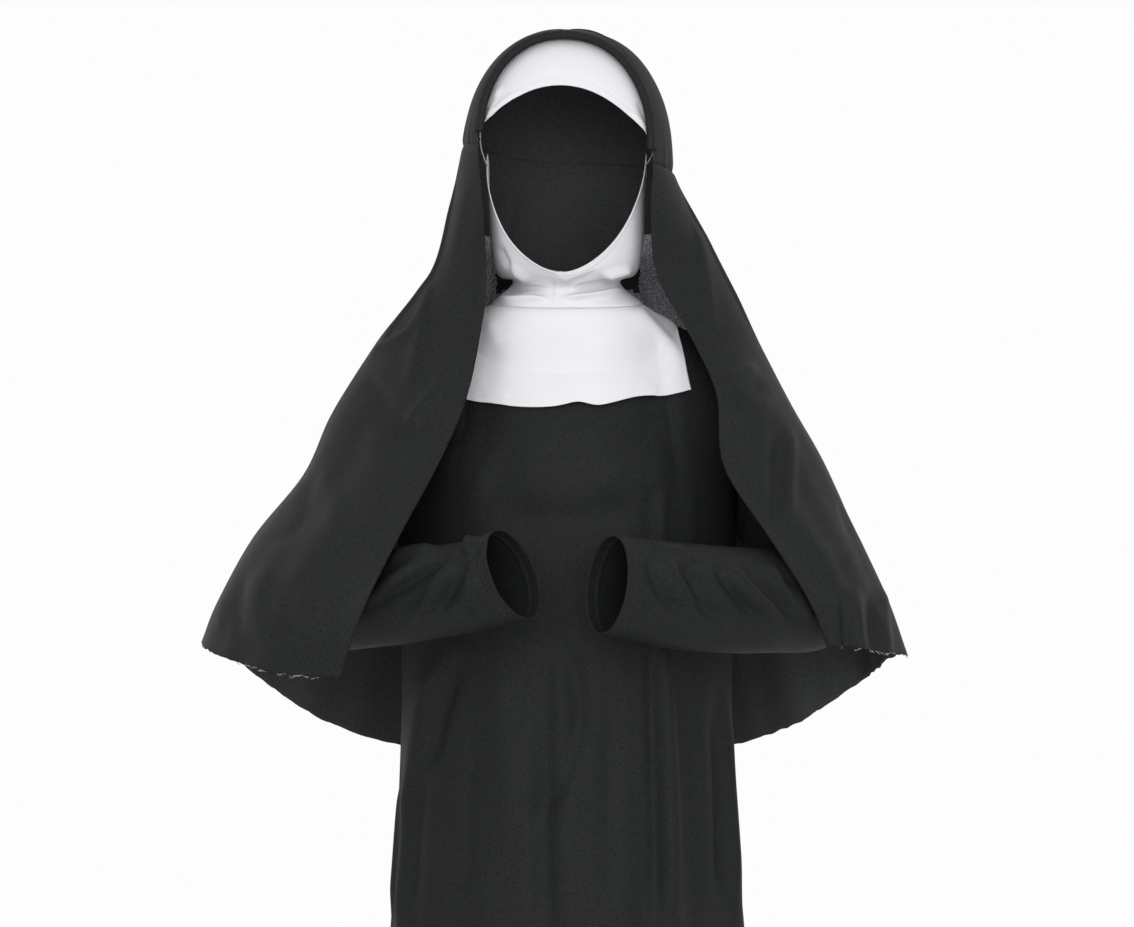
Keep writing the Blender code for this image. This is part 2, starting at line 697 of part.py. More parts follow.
def veil_roll(finish):
    """Rolled casing in front of the crown's edge."""
    along, around = ROLL_CELLS
    points, faces = [], []
    shares = evenly(ROLL_FROM, ROLL_TO, along)
    for share in shares:
        middle = front_edge(share)
        direction = unit(front_edge(share + 0.01) - front_edge(share - 0.01))
        out = unit(middle - np.array(CROWN_CENTRE))
        out = unit(out - direction * (out @ direction))
        ahead = np.cross(direction, out)
        if ahead[1] > 0.0:
            ahead = -ahead
        middle = middle + ahead * (ROLL_HALF_WIDTH + ROLL_GAP) + out * ROLL_LIFT
        for index in range(around):
            turn = 2.0 * math.pi * index / around
            wide, thick = ROLL_HALF_WIDTH * math.cos(turn), ROLL_HALF_THICKNESS * math.sin(turn)
            points.append(middle + ahead * wide + out * thick)
    for row in range(len(shares) - 1):
        for column in range(around):
            after = (column + 1) % around
            faces.append([row * around + column, row * around + after, (row + 1) * around + after,
                          (row + 1) * around + column])
    faces.append(list(range(around)))
    faces.append([(len(shares) - 1) * around + index for index in range(around)])
    return make_object("veil_roll", points, faces, finish)


# Headband

def head_front_y(x, z, inset):
    """Depth of the head's rounded front under the crown, moved in by inset."""
    half_x, half_y, half_z = (half - inset for half in CROWN_HALF)
    left = 1.0 - abs(x / half_x) ** CROWN_ROUNDNESS - abs((z - CROWN_CENTRE[2]) / half_z) ** CROWN_ROUNDNESS
    return -half_y * max(left, 0.0) ** (1.0 / CROWN_ROUNDNESS)


def headband_surface(u, v):
    """Headband: u runs from the left end at -1 to the right end at 1, v from its upper to its lower edge."""
    turn = 0.5 * math.pi * u
    x = BAND_HALF_WIDTH * math.sin(turn)
    upper_z = BAND_END_Z + BAND_END_HEIGHT + (BAND_TOP_HEIGHT - BAND_END_HEIGHT) * math.cos(turn)
    lower_z = BAND_BOTTOM_Z - BAND_BOTTOM_CURVE * x * x
    z = upper_z + (lower_z - upper_z) * v - BAND_TILT * x
    x = x * (1.0 - BAND_TOP_NARROWING * (1.0 - v))
    return np.array([x, head_front_y(x, z, BAND_INSET), z])


def headband(finish):
    def outward(point):
        return point - np.array(CROWN_CENTRE) + np.array([0.0, 0.0, 0.01])

    around, down = HEADBAND_CELLS
    across, lower = evenly(-BAND_END, BAND_END, around), evenly(0.0, 1.0, down)
    return cloth_wall("headband", headband_surface, across, lower, WHITE_CLOTH, outward, finish)


# Wimple

def wimple_surface(u, v):
    """Wimple: u is the angle from the chin in degrees, v runs from the face edge to the seam with the bib."""
    turn = math.radians(u)
    sine, cosine = math.sin(turn), math.cos(turn)
    chin_y, chin_z = CHIN
    ear_y, ear_z = EAR
    nape_y, nape_z = NAPE
    if cosine >= 0.0:
        face = np.array([
            FACE_MIDDLE_X * cosine + FACE_HALF_WIDTH * sine,
            ear_y + (chin_y - ear_y) * cosine**CHIN_ROUNDNESS,
            chin_z + (ear_z - chin_z) * (1.0 - cosine) ** CHEEK_ROUNDNESS,
        ])
    else:
        face = np.array([FACE_HALF_WIDTH * sine, ear_y - (nape_y - ear_y) * cosine,
                         ear_z + (nape_z - ear_z) * abs(cosine) ** NAPE_ROUNDNESS])

    def ring(sizes):
        half_width, front, back, side_z, front_change = sizes
        reach = front if cosine >= 0.0 else back
        return np.array([half_width * sine, -reach * cosine, side_z - front_change * max(cosine, 0.0)])

    jaw_width, jaw_front, jaw_back, jaw_z, jaw_rise = JAW
    jaw = ring((jaw_width, jaw_front, jaw_back, jaw_z + jaw_rise * abs(sine), 0.0))
    neck, collar = ring(NECK), ring(COLLAR)
    return curve_at([face, jaw, neck, collar], v)


def wimple(finish):
    def outward(point):
        return np.array([point[0], point[1], DOWN_SHARE * math.hypot(point[0], point[1])])

    around, down = WIMPLE_CELLS
    angles = [360.0 * index / around for index in range(around)]
    return cloth_wall("wimple", wimple_surface, angles, evenly(0.0, 1.0, down), WHITE_CLOTH, outward, finish,
                      ring=True, steps=WIMPLE_STEPS)


def on_chest(x, z):
    """Point and normal of the habit's front above the armpits at a place of the front view."""
    target = np.array([x, z])
    across, share = x / 0.17, 0.3
    for _ in range(12):
        point = bodice(-1, across, share)
        error = target - np.array([point[0], point[2]])
        step = 1e-4
        by_across = (bodice(-1, across + step, share) - point) / step
        by_share = (bodice(-1, across, share + step) - point) / step
        table = np.array([[by_across[0], by_share[0]], [by_across[2], by_share[2]]])
        change = np.linalg.solve(table, error)
        across += float(np.clip(change[0], -0.15, 0.15))
        share = min(max(share + float(np.clip(change[1], -0.15, 0.15)), 0.0), 1.0)
    point = bodice(-1, across, share)
    along_across = bodice(-1, across + 1e-3, share) - bodice(-1, across - 1e-3, share)
    along_share = bodice(-1, across, min(share + 1e-3, 1.0)) - bodice(-1, across, max(share - 1e-3, 0.0))
    normal = unit(np.cross(along_across, along_share))
    return point, normal if normal[1] < 0.0 else -normal


def bib_surface(u, v):
    """Bib: u runs from -1 to 1 across it, v from the seam under the neck to the lower edge."""
    top = wimple_surface(BIB_TURN * u, 1.0) + np.array([0.0, 0.0, -SEAM_GAP])
    turn = 0.5 * math.pi * u
    knee_x = (BIB_SHOULDER_X - BIB_KNEE_INSET) * math.sin(BIB_KNEE_TURN * math.pi * u)
    knee_z = -BIB_KNEE_DROP * math.cos(turn)
    edge_x = BIB_HALF_WIDTH * u
    edge_z = value_at(BIB_EDGE, u)[0]

    def laid(share):
        point, normal = on_chest(knee_x + (edge_x - knee_x) * share, knee_z + (edge_z - knee_z) * share)
        return point + normal * (LAYER_GAP + WHITE_CLOTH)

    if v > BIB_KNEE_SHARE:
        return laid((v - BIB_KNEE_SHARE) / (1.0 - BIB_KNEE_SHARE))
    knee, beyond = laid(0.0), laid(0.4)
    first = top + np.array(BIB_TOP_HANDLE) * np.array([math.sin(turn), math.cos(turn), 1.0])
    second = knee - unit(beyond - knee) * BIB_KNEE_HANDLE
    return bezier(top, first, second, knee, v / BIB_KNEE_SHARE)


def bib(finish):
    def outward(point):
        return np.array([point[0] * 0.3, -1.0, 0.5])

    around, down = BIB_CELLS
    across, lower = evenly(-1.0, 1.0, around), evenly(0.0, 1.0, down)
    return cloth_wall("wimple_bib", bib_surface, across, lower, WHITE_CLOTH, outward, finish)


def elastic(name, side, finish):
    """Short elastic loop from the headband's end to the top of the wimple's side strip."""
    top = headband_surface(side * ELASTIC_BAND_PLACE, 1.0)
    foot = wimple_surface(side * ELASTIC_WIMPLE_ANGLE, 0.0)
    top = top - np.array([0.0, 0.0, ELASTIC_BAND_GAP])
    foot = foot + np.array([0.0, 0.0, ELASTIC_WIMPLE_GAP])
    out = unit(np.array([side, -0.25, 0.0]))
    wide = np.array([-out[1], out[0], 0.0])
    points, faces = [], []
    for share in evenly(0.0, 1.0, ELASTIC_CELLS):
        middle = top + (foot - top) * share + out * ELASTIC_BOW * math.sin(math.pi * share)
        for across, through in ((-1, -1), (1, -1), (1, 1), (-1, 1)):
            edge = wide * across * ELASTIC_HALF_WIDTH + out * through * ELASTIC_HALF_THICKNESS
            points.append(middle + edge)
    for row in range(ELASTIC_CELLS):
        for corner in range(4):
            after = (corner + 1) % 4
            faces.append([4 * row + corner, 4 * row + after, 4 * row + 4 + after, 4 * row + 4 + corner])
    faces.append([0, 1, 2, 3])
    faces.append([4 * ELASTIC_CELLS + corner for corner in range(4)])
    return make_object(name, points, faces, finish)


def main():
    clear_scene()
    black = material("black_knit", (0.018, 0.020, 0.020), 0.62)
    veil_black = material("black_veil_cloth", (0.020, 0.022, 0.022), 0.58)
    white = material("white_knit", (0.86, 0.86, 0.88), 0.70)
    habit_panel("habit_front", -1, HABIT_FRONT_CELLS, black)
    habit_panel("habit_back", 1, HABIT_BACK_CELLS, black)
    sleeve("sleeve_left", 1.0, black)
    sleeve("sleeve_right", -1.0, black)
    veil(veil_black)
    veil_roll(veil_black)
    headband(white)
    wimple(white)
    bib(white)
    elastic("elastic_left", -1.0, white)
    elastic("elastic_right", 1.0, white)


main()
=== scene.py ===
"""Looks of the nun costume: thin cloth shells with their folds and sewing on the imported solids.

Metres, +Z up, the front faces -Y and +X is the viewer's right. Each shell follows the form of the solid that it
replaces, on a finer grid. Creases that the photo shows are laid down as paths in its pixels.
"""
import math

import bmesh
import bpy
import numpy as np
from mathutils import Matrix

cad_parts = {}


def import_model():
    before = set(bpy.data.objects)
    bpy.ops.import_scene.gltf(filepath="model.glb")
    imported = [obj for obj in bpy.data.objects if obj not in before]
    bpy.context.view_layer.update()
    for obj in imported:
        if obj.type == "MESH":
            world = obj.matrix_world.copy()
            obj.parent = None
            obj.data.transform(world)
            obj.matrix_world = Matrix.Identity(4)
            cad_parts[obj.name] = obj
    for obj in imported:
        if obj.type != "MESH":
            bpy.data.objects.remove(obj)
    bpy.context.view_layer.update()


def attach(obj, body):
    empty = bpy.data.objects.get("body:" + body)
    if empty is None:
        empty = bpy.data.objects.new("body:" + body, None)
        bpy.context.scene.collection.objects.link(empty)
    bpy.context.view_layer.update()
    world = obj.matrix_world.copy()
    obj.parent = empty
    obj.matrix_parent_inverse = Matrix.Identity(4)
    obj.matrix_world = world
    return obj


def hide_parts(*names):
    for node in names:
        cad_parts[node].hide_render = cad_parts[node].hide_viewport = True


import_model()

# The photo's view: its size in pixels, the pixel that the camera looks at, and metres to a pixel at the middle
PHOTO_WIDTH = 1134
PHOTO_MIDDLE = (567.0, 463.5)
PIXEL_SIZE = 0.967e-3
CAMERA_DISTANCE = 3.2
CAMERA_Z = -0.129
SENSOR_WIDTH = 36.0

# Cloth
BLACK_CLOTH = 0.0009
WHITE_CLOTH = 0.0009
LAYER_GAP = 0.0030

# Habit: heights of its main lines and its armhole
HEM_Z = -1.320
ARMPIT_Z = -0.195
NECK_POINT = np.array([0.080, 0.004, 0.014])
SHOULDER_TIP = np.array([0.180, 0.004, -0.026])
ARMHOLE_BOTTOM = np.array([0.163, 0.000, ARMPIT_Z])
FRONT_NECK_DEPTH = 0.050
BACK_NECK_DEPTH = 0.014
FRONT_NECK_REACH = 0.078
BACK_NECK_REACH = 0.064
NECKLINE_SHARE = 0.45
UPPER_SHARE = {-1: 10 / 22, 1: 10 / 19}

# Head
CROWN_CENTRE = np.array([0.000, 0.000, 0.165])
CROWN_HALF = np.array([0.101, 0.100, 0.125])
CROWN_ROUNDNESS = 2.2

# Rings of the habit below the armholes: height, half width, reach to the front and to the back
HABIT_RINGS = [
    # z, half_width, front, back
    (-0.195, 0.163, 0.124, 0.104),
    (-0.300, 0.160, 0.123, 0.106),
    (-0.420, 0.161, 0.124, 0.114),
    (-0.577, 0.172, 0.131, 0.126),
    (-0.800, 0.190, 0.143, 0.142),
    (-1.060, 0.212, 0.157, 0.158),
    (-1.320, 0.236, 0.172, 0.176),
]

# Folds of the skirt: angle from the centre front at the top and at the hem, height where the fold starts,
# how far it stands out (or sinks in) at the hem, and its half width in degrees
SKIRT_FOLDS = [
    # top, hem, start_z, out, half_width
    (34.0, 36.0, -0.270, 0.015, 9.0),
    (25.0, 25.0, -0.300, -0.009, 8.0),
    (-7.0, -6.0, -0.370, -0.010, 8.0),
    (6.0, 9.0, -0.520, 0.011, 10.0),
    (-27.0, -24.0, -0.480, 0.010, 10.0),
    (-45.0, -44.0, -0.340, -0.009, 9.0),
    (-66.0, -64.0, -0.330, 0.015, 11.0),
    (54.0, 57.0, -0.420, -0.008, 9.0),
    (72.0, 74.0, -0.330, 0.014, 10.0),
    (-88.0, -86.0, -0.400, -0.008, 9.0),
    (96.0, 97.0, -0.420, -0.009, 10.0),
    (116.0, 118.0, -0.300, 0.015, 11.0),
    (139.0, 137.0, -0.380, -0.010, 10.0),
    (158.0, 157.0, -0.330, 0.014, 11.0),
    (178.0, 177.0, -0.300, -0.011, 10.0),
    (-161.0, -162.0, -0.340, 0.015, 11.0),
    (-141.0, -143.0, -0.420, -0.009, 10.0),
    (-122.0, -122.0, -0.310, 0.016, 12.0),
    (-103.0, -104.0, -0.380, -0.007, 9.0),
]

# Sleeve sections from the armhole to the cuff, with x counted outwards from the body's middle
SLEEVE_SECTIONS = {
    "sleeve_left": [
        # outer x, y, z, inner x, y, z, half_depth
        (0.180, 0.004, -0.026, 0.163, 0.000, -0.195, 0.047),
        (0.203, 0.004, -0.057, 0.172, 0.000, -0.208, 0.054),
        (0.234, 0.002, -0.125, 0.183, -0.006, -0.217, 0.056),
        (0.264, -0.002, -0.195, 0.193, -0.026, -0.220, 0.054),
        (0.276, -0.020, -0.266, 0.198, -0.058, -0.214, 0.050),
        (0.246, -0.072, -0.302, 0.184, -0.098, -0.210, 0.045),
        (0.186, -0.130, -0.305, 0.154, -0.142, -0.206, 0.041),
        (0.104, -0.186, -0.299, 0.100, -0.190, -0.200, 0.035),
        (0.028, -0.232, -0.281, 0.043, -0.238, -0.194, 0.031),
    ],
    "sleeve_right": [
        # outer x, y, z, inner x, y, z, half_depth
        (0.180, 0.004, -0.026, 0.163, 0.000, -0.195, 0.047),
        (0.208, 0.004, -0.060, 0.172, 0.000, -0.208, 0.054),
        (0.240, 0.002, -0.125, 0.184, -0.006, -0.217, 0.056),
        (0.272, -0.002, -0.195, 0.198, -0.026, -0.220, 0.054),
        (0.290, -0.020, -0.266, 0.208, -0.058, -0.216, 0.050),
        (0.256, -0.074, -0.300, 0.192, -0.098, -0.213, 0.045),
        (0.192, -0.130, -0.300, 0.160, -0.140, -0.208, 0.039),
        (0.106, -0.186, -0.287, 0.106, -0.190, -0.202, 0.035),
        (0.030, -0.230, -0.266, 0.066, -0.236, -0.190, 0.031),
    ],
}

# Sleeve folds: place along the sleeve and round it (0 is the outer line), how far out, half sizes, and its slant
SLEEVE_FOLDS = [
    # along, round, out, half_along, half_round, slant
    (0.60, 90.0, 0.006, 0.055, 70.0, 0.0010),
    (0.70, 100.0, -0.005, 0.040, 60.0, 0.0012),
    (0.80, 85.0, 0.006, 0.045, 65.0, 0.0012),
    (0.56, 275.0, 0.006, 0.050, 60.0, -0.0010),
    (0.74, 265.0, -0.005, 0.050, 60.0, -0.0010),
]

# Sections of the veil below the ears: front edges, widest points, middle of the back, and how far round the cloth
# turns towards its front edges
FALL_SECTIONS = [
    # left edge x, y, z, left side x, y, z, back y, z,
    # right side x, y, z, right edge x, y, z, turn
    (-0.0850, -0.0586, 0.174, -0.1010, 0.000, 0.178, 0.100, 0.165,
     0.1030, 0.000, 0.152, 0.0820, -0.0634, 0.156, 36.0),
    (-0.0790, -0.0660, 0.108, -0.1130, 0.008, 0.116, 0.106, 0.100,
     0.1210, 0.008, 0.112, 0.0800, -0.0640, 0.104, 50.0),
    (-0.0765, -0.0640, 0.040, -0.1330, 0.012, 0.052, 0.112, 0.036,
     0.1500, 0.012, 0.058, 0.0860, -0.0560, 0.050, 62.0),
    (-0.0830, -0.0820, -0.014, -0.1840, 0.010, -0.010, 0.120, -0.036,
     0.1860, 0.010, -0.010, 0.1190, -0.0640, -0.012, 75.0),
    (-0.0950, -0.1150, -0.072, -0.2270, 0.004, -0.080, 0.130, -0.120,
     0.2180, 0.004, -0.074, 0.1400, -0.0980, -0.064, 85.0),
    (-0.1200, -0.1450, -0.132, -0.2540, 0.000, -0.138, 0.138, -0.205,
     0.2500, 0.000, -0.130, 0.1460, -0.1220, -0.132, 90.0),
    (-0.1560, -0.1980, -0.202, -0.3020, -0.006, -0.202, 0.146, -0.290,
     0.2820, -0.006, -0.202, 0.1880, -0.1520, -0.200, 90.0),
    (-0.1860, -0.2140, -0.266, -0.3360, -0.006, -0.262, 0.153, -0.366,
     0.3090, -0.006, -0.262, 0.2240, -0.1480, -0.258, 90.0),
    (-0.2060, -0.1980, -0.324, -0.3520, 0.002, -0.300, 0.160, -0.434,
     0.3270, 0.002, -0.314, 0.2400, -0.1400, -0.298, 88.0),
]
BACK_SQUARENESS = 0.30
LEFT_SIDE_SHARE = 0.24
RIGHT_SIDE_SHARE = 0.80

# Folds of the veil: place round it (0 is the left edge, 1 the right one) at the ears and at the hem, where down
# the veil the fold starts, how far it stands out at the hem, and its half width
VEIL_FOLDS = [
    # at_ears, at_hem, start, out, half_width
    (0.100, 0.110, 0.34, -0.003, 0.030),
    (0.160, 0.175, 0.40, 0.003, 0.034),
    (0.270, 0.262, 0.30, -0.009, 0.026),
    (0.330, 0.318, 0.22, 0.014, 0.034),
    (0.392, 0.380, 0.26, -0.012, 0.030),
    (0.440, 0.442, 0.20, 0.014, 0.034),
    (0.505, 0.505, 0.16, -0.014, 0.032),
    (0.560, 0.566, 0.20, 0.015, 0.034),
    (0.620, 0.628, 0.28, -0.012, 0.032),
    (0.680, 0.690, 0.22, 0.013, 0.034),
    (0.740, 0.752, 0.32, -0.009, 0.028),
    (0.860, 0.850, 0.42, 0.003, 0.030),
    (0.930, 0.915, 0.45, -0.003, 0.028),
]

# Front roll of the veil
ROLL_HALF_THICKNESS = 0.0042
ROLL_HALF_WIDTH = 0.0062
ROLL_LIFT = 0.0030

# Headband
BAND_BOTTOM_Z = 0.227
BAND_BOTTOM_CURVE = 6.6
BAND_HALF_WIDTH = 0.084
BAND_TOP_HEIGHT = 0.107
BAND_END_Z = 0.1735
BAND_INSET = 0.0036
BAND_TILT = 0.09

# Wimple: guide rings from the face edge down to the seam with the bib
FACE_MIDDLE_X = -0.006
FACE_HALF_WIDTH = 0.077
CHIN = (-0.100, 0.050)
EAR = (-0.013, 0.170)
NAPE = (0.066, 0.060)
JAW = (0.071, 0.093, 0.060, 0.043, 0.020)
NECK = (0.052, 0.076, 0.055, 0.047, 0.011)
COLLAR = (0.074, 0.080, 0.060, 0.0255, 0.008)

# Elastic loops
ELASTIC_BAND_PLACE = 0.90
ELASTIC_WIMPLE_ANGLE = 82.0
ELASTIC_HALF_WIDTH = 0.0022
ELASTIC_HALF_THICKNESS = 0.0007
ELASTIC_BAND_GAP = 0.0014
ELASTIC_WIMPLE_GAP = 0.0020
ELASTIC_BOW = 0.0025

# Bib
BIB_HALF_WIDTH = 0.1165
BIB_SHOULDER_X = 0.112
BIB_TURN = 81.0
BIB_KNEE_SHARE = 0.34
BIB_EDGE = [
    # place, z
    (-1.00, -0.061),
    (-0.78, -0.071),
    (-0.58, -0.074),
    (-0.38, -0.077),
    (-0.05, -0.076),
    (0.10, -0.072),
    (0.22, -0.076),
    (0.36, -0.073),
    (0.55, -0.067),
    (0.80, -0.066),
    (1.00, -0.060),
]

# Creases as the photo shows them: a path in its pixels, how far the cloth stands out (or sinks in) in metres, and
# the crease's half widths in pixels on the path's left and right
DRESS_CREASES = [
    # path, out, left_width, right_width
    ([(663, 480), (664, 515), (663, 560)], 0.0016, 4.0, 9.0),
    ([(652, 478), (650, 510), (651, 560)], -0.0016, 9.0, 6.0),
    ([(690, 480), (693, 520), (690, 560)], 0.0012, 8.0, 8.0),
    ([(440, 440), (462, 466), (500, 484)], 0.0045, 30.0, 28.0),
    ([(590, 462), (630, 470), (680, 466)], 0.0045, 28.0, 26.0),
    ([(479, 492), (530, 520), (600, 515), (655, 495)], -0.0061, 24.2, 24.2),
    ([(664, 600), (668, 720), (672, 800), (676, 960)], 0.0078, 9.0, 10.0),
    ([(651, 600), (652, 720), (654, 800), (656, 960)], -0.0052, 9.0, 6.0),
    ([(682, 620), (688, 740), (692, 820), (698, 960)], -0.0050, 9.0, 14.0),
    ([(549, 600), (546, 780), (547, 860), (548, 980)], -0.0042, 8.0, 14.0),
    ([(566, 620), (564, 800), (565, 960)], 0.0030, 14.0, 16.0),
    ([(548, 610), (566, 650), (580, 700), (572, 750), (552, 800), (514, 834)], -0.0065, 9.9, 17.6),
    ([(500, 640), (498, 700), (506, 780), (500, 860)], 0.0036, 15.4, 15.4),
    ([(462, 650), (448, 690), (436, 730), (428, 780)], -0.0073, 9.9, 9.9),
    ([(438, 648), (424, 700), (418, 745), (410, 790)], 0.0069, 8.8, 11.0),
    ([(474, 700), (468, 800), (462, 930)], -0.0053, 11.0, 11.0),
    ([(607, 660), (612, 740), (610, 840), (614, 930)], -0.0041, 13.2, 13.2),
    ([(414, 748), (404, 800), (397, 860), (394, 940)], 0.0061, 4.4, 6.6),
    ([(422, 760), (414, 830), (409, 930)], -0.0061, 6.6, 7.7),
    ([(722, 670), (729, 740), (733, 820), (738, 935)], 0.0061, 6.6, 4.4),
    ([(712, 680), (719, 760), (723, 930)], -0.0061, 7.7, 6.6),
]

VEIL_CREASES = [
    # path, out, left_width, right_width
    ([(433, 272), (428, 300), (419, 345), (410, 385), (405, 400)], 0.0034, 2.2, 9.0),
    ([(428, 300), (408, 330), (382, 345), (362, 364)], 0.0026, 6.0, 2.2),
    ([(358, 360), (370, 382), (388, 410), (404, 436), (420, 462)], -0.0060, 8.0, 12.0),
    ([(446, 368), (434, 392), (418, 412), (402, 432)], 0.0044, 8.0, 8.0),
    ([(432, 400), (424, 418), (414, 438)], -0.0017, 4.6, 4.6),
    ([(458, 330), (452, 370), (438, 410)], 0.0019, 10.3, 11.5),
    ([(350, 390), (344, 420), (330, 455)], 0.0019, 13.8, 13.8),
    ([(322, 436), (329, 478), (335, 512), (328, 548)], 0.0033, 9.0, 13.0),
    ([(308, 470), (307, 505), (290, 532), (262, 543)], -0.0028, 8.0, 5.8),
    ([(364, 424), (376, 456), (384, 486)], 0.0018, 11.0, 10.0),
    ([(398, 470), (388, 510), (378, 548), (352, 590)], -0.0019, 13.8, 13.8),
    ([(272, 560), (260, 590), (258, 625), (262, 652)], 0.0033, 8.0, 11.5),
    ([(246, 562), (240, 590), (238, 618), (240, 642)], -0.0029, 5.8, 5.8),
    ([(228, 590), (222, 610), (218, 636)], 0.0017, 5.8, 4.6),
    ([(290, 575), (284, 610), (288, 655)], -0.0022, 10.3, 9.2),
    ([(312, 580), (306, 620), (312, 664)], 0.0017, 10.3, 10.3),
    ([(352, 590), (338, 630), (338, 672)], 0.0022, 10.3, 8.0),
    ([(470, 170), (460, 220), (448, 275)], 0.0017, 5.8, 8.0),
    ([(690, 212), (700, 250), (708, 300), (714, 345)], 0.0030, 8.0, 2.2),
    ([(656, 226), (668, 216), (686, 206)], 0.0013, 4.6, 4.6),
    ([(676, 235), (690, 290), (704, 340)], -0.0015, 8.0, 8.0),
    ([(724, 396), (736, 378), (760, 364)], 0.0047, 6.9, 10.3),
    ([(728, 408), (746, 392), (770, 384)], -0.0039, 6.9, 8.0),
    ([(734, 424), (748, 410), (776, 402)], 0.0023, 9.2, 9.2),
    ([(790, 420), (790, 470), (788, 530)], 0.0040, 5.8, 4.6),
    ([(779, 426), (778, 480), (776, 536)], -0.0051, 6.9, 8.0),
    ([(752, 430), (756, 470), (768, 520)], 0.0023, 13.8, 13.8),
    ([(838, 496), (846, 520), (856, 545)], -0.0034, 5.8, 4.6),
    ([(812, 560), (836, 556), (862, 566)], 0.0026, 13.8, 13.8),
    ([(842, 585), (846, 620), (848, 668)], -0.0047, 5.8, 5.8),
    ([(855, 578), (857, 620), (860, 668)], 0.0047, 6.9, 5.8),
    ([(870, 585), (872, 620), (876, 664)], -0.0043, 4.6, 4.6),
    ([(882, 582), (885, 620), (890, 658)], 0.0039, 4.6, 4.6),
    ([(824, 580), (830, 620), (836, 664)], 0.0031, 6.9, 6.9),
]

SLEEVE_CREASES = {
    "sleeve_left": [
        # path, out, left_width, right_width
        ([(642, 548), (652, 572), (668, 600), (690, 622)], -0.0061, 5.2, 7.4),
        ([(654, 546), (668, 566), (684, 590), (704, 612)], 0.0058, 6.3, 7.4),
        ([(676, 552), (692, 578), (704, 604), (724, 630)], -0.0071, 5.2, 7.4),
        ([(692, 550), (708, 574), (724, 598), (742, 620)], 0.0061, 6.3, 6.3),
        ([(706, 554), (724, 580), (744, 604), (772, 630)], -0.0082, 5.2, 7.4),
        ([(722, 554), (742, 580), (762, 600), (790, 624)], 0.0068, 6.3, 6.3),
        ([(738, 556), (756, 578), (780, 602), (806, 622)], -0.0071, 5.2, 7.4),
        ([(758, 556), (776, 574), (796, 598), (816, 626)], 0.0061, 5.2, 6.3),
        ([(776, 562), (792, 590), (812, 618)], -0.0061, 5.2, 5.2),
        ([(648, 545), (668, 549), (690, 550)], 0.0051, 5.2, 4.2),
    ],
    "sleeve_right": [
        # path, out, left_width, right_width
        ([(358, 618), (384, 598), (412, 580), (440, 560), (456, 545)], -0.0088, 7.4, 6.3),
        ([(384, 566), (402, 556), (424, 552), (446, 550)], 0.0068, 6.3, 5.2),
        ([(372, 598), (396, 580), (420, 564), (444, 552)], 0.0061, 6.3, 6.3),
        ([(432, 622), (446, 598), (458, 574), (468, 552)], -0.0082, 7.4, 6.3),
        ([(412, 626), (428, 604), (440, 582), (456, 560)], 0.0071, 7.4, 7.4),
        ([(462, 614), (470, 592), (474, 570)], 0.0061, 7.4, 7.4),
        ([(486, 614), (486, 590), (482, 566)], -0.0058, 6.3, 6.3),
        ([(466, 556), (472, 538), (484, 532)], 0.0082, 4.2, 4.2),
        ([(474, 562), (480, 548), (488, 540)], -0.0068, 4.2, 4.2),
        ([(500, 604), (502, 580), (496, 560)], 0.0044, 7.4, 7.4),
    ],
}

BIB_CREASES = [
    # path, out, left_width, right_width
    ([(628, 300), (648, 322), (670, 346), (688, 372)], 0.0034, 6.9, 10.3),
    ([(640, 300), (664, 322), (684, 344)], -0.0022, 5.8, 6.9),
    ([(486, 318), (494, 330), (498, 350)], 0.0022, 8.0, 8.0),
    ([(516, 320), (508, 350), (506, 390)], 0.0012, 13.8, 13.8),
    ([(560, 330), (552, 360), (548, 400)], -0.0010, 18.4, 18.4),
    ([(606, 330), (600, 362), (598, 400)], 0.0014, 16.1, 16.1),
    ([(480, 400), (496, 396), (512, 402)], 0.0012, 9.2, 9.2),
    ([(640, 380), (650, 390), (660, 394)], 0.0014, 9.2, 9.2),
]

WIMPLE_CREASES = [
    # path, out, left_width, right_width
    ([(492, 296), (508, 301), (532, 300), (554, 299)], 0.0064, 3.4, 2.7),
    ([(556, 299), (580, 297), (604, 294), (626, 288)], 0.0064, 3.4, 2.7),
    ([(486, 288), (506, 290), (530, 288), (552, 289)], -0.0038, 2.7, 2.7),
    ([(634, 276), (616, 280), (594, 286), (570, 289)], -0.0071, 2.7, 2.7),
    ([(634, 268), (618, 272), (600, 278)], 0.0060, 3.4, 3.4),
    ([(506, 262), (516, 272), (532, 282)], 0.0038, 4.1, 4.1),
    ([(498, 244), (506, 262), (516, 276)], -0.0034, 3.4, 3.4),
    ([(556, 270), (556, 288), (554, 308)], 0.0015, 1.5, 1.5),
    ([(600, 270), (584, 279), (566, 284)], -0.0022, 3.0, 4.0),
]

BAND_CREASES = [
    # path, out, left_width, right_width
    ([(481, 131), (488, 118), (498, 104)], 0.0020, 2.6, 2.6),
    ([(483, 129), (494, 117), (506, 106)], -0.0017, 2.4, 2.4),
    ([(482, 124), (488, 108), (497, 92)], -0.0017, 2.6, 2.6),
    ([(485, 118), (493, 100), (503, 84)], 0.0017, 3.0, 3.0),
    ([(492, 116), (506, 100), (520, 92)], 0.0017, 3.4, 3.4),
    ([(648, 136), (640, 122), (630, 110)], 0.0017, 3.0, 3.0),
    ([(650, 130), (644, 114), (636, 100)], -0.0017, 3.0, 3.0),
    ([(540, 50), (548, 62), (552, 76)], 0.0010, 6.0, 6.0),
]


# Numbers

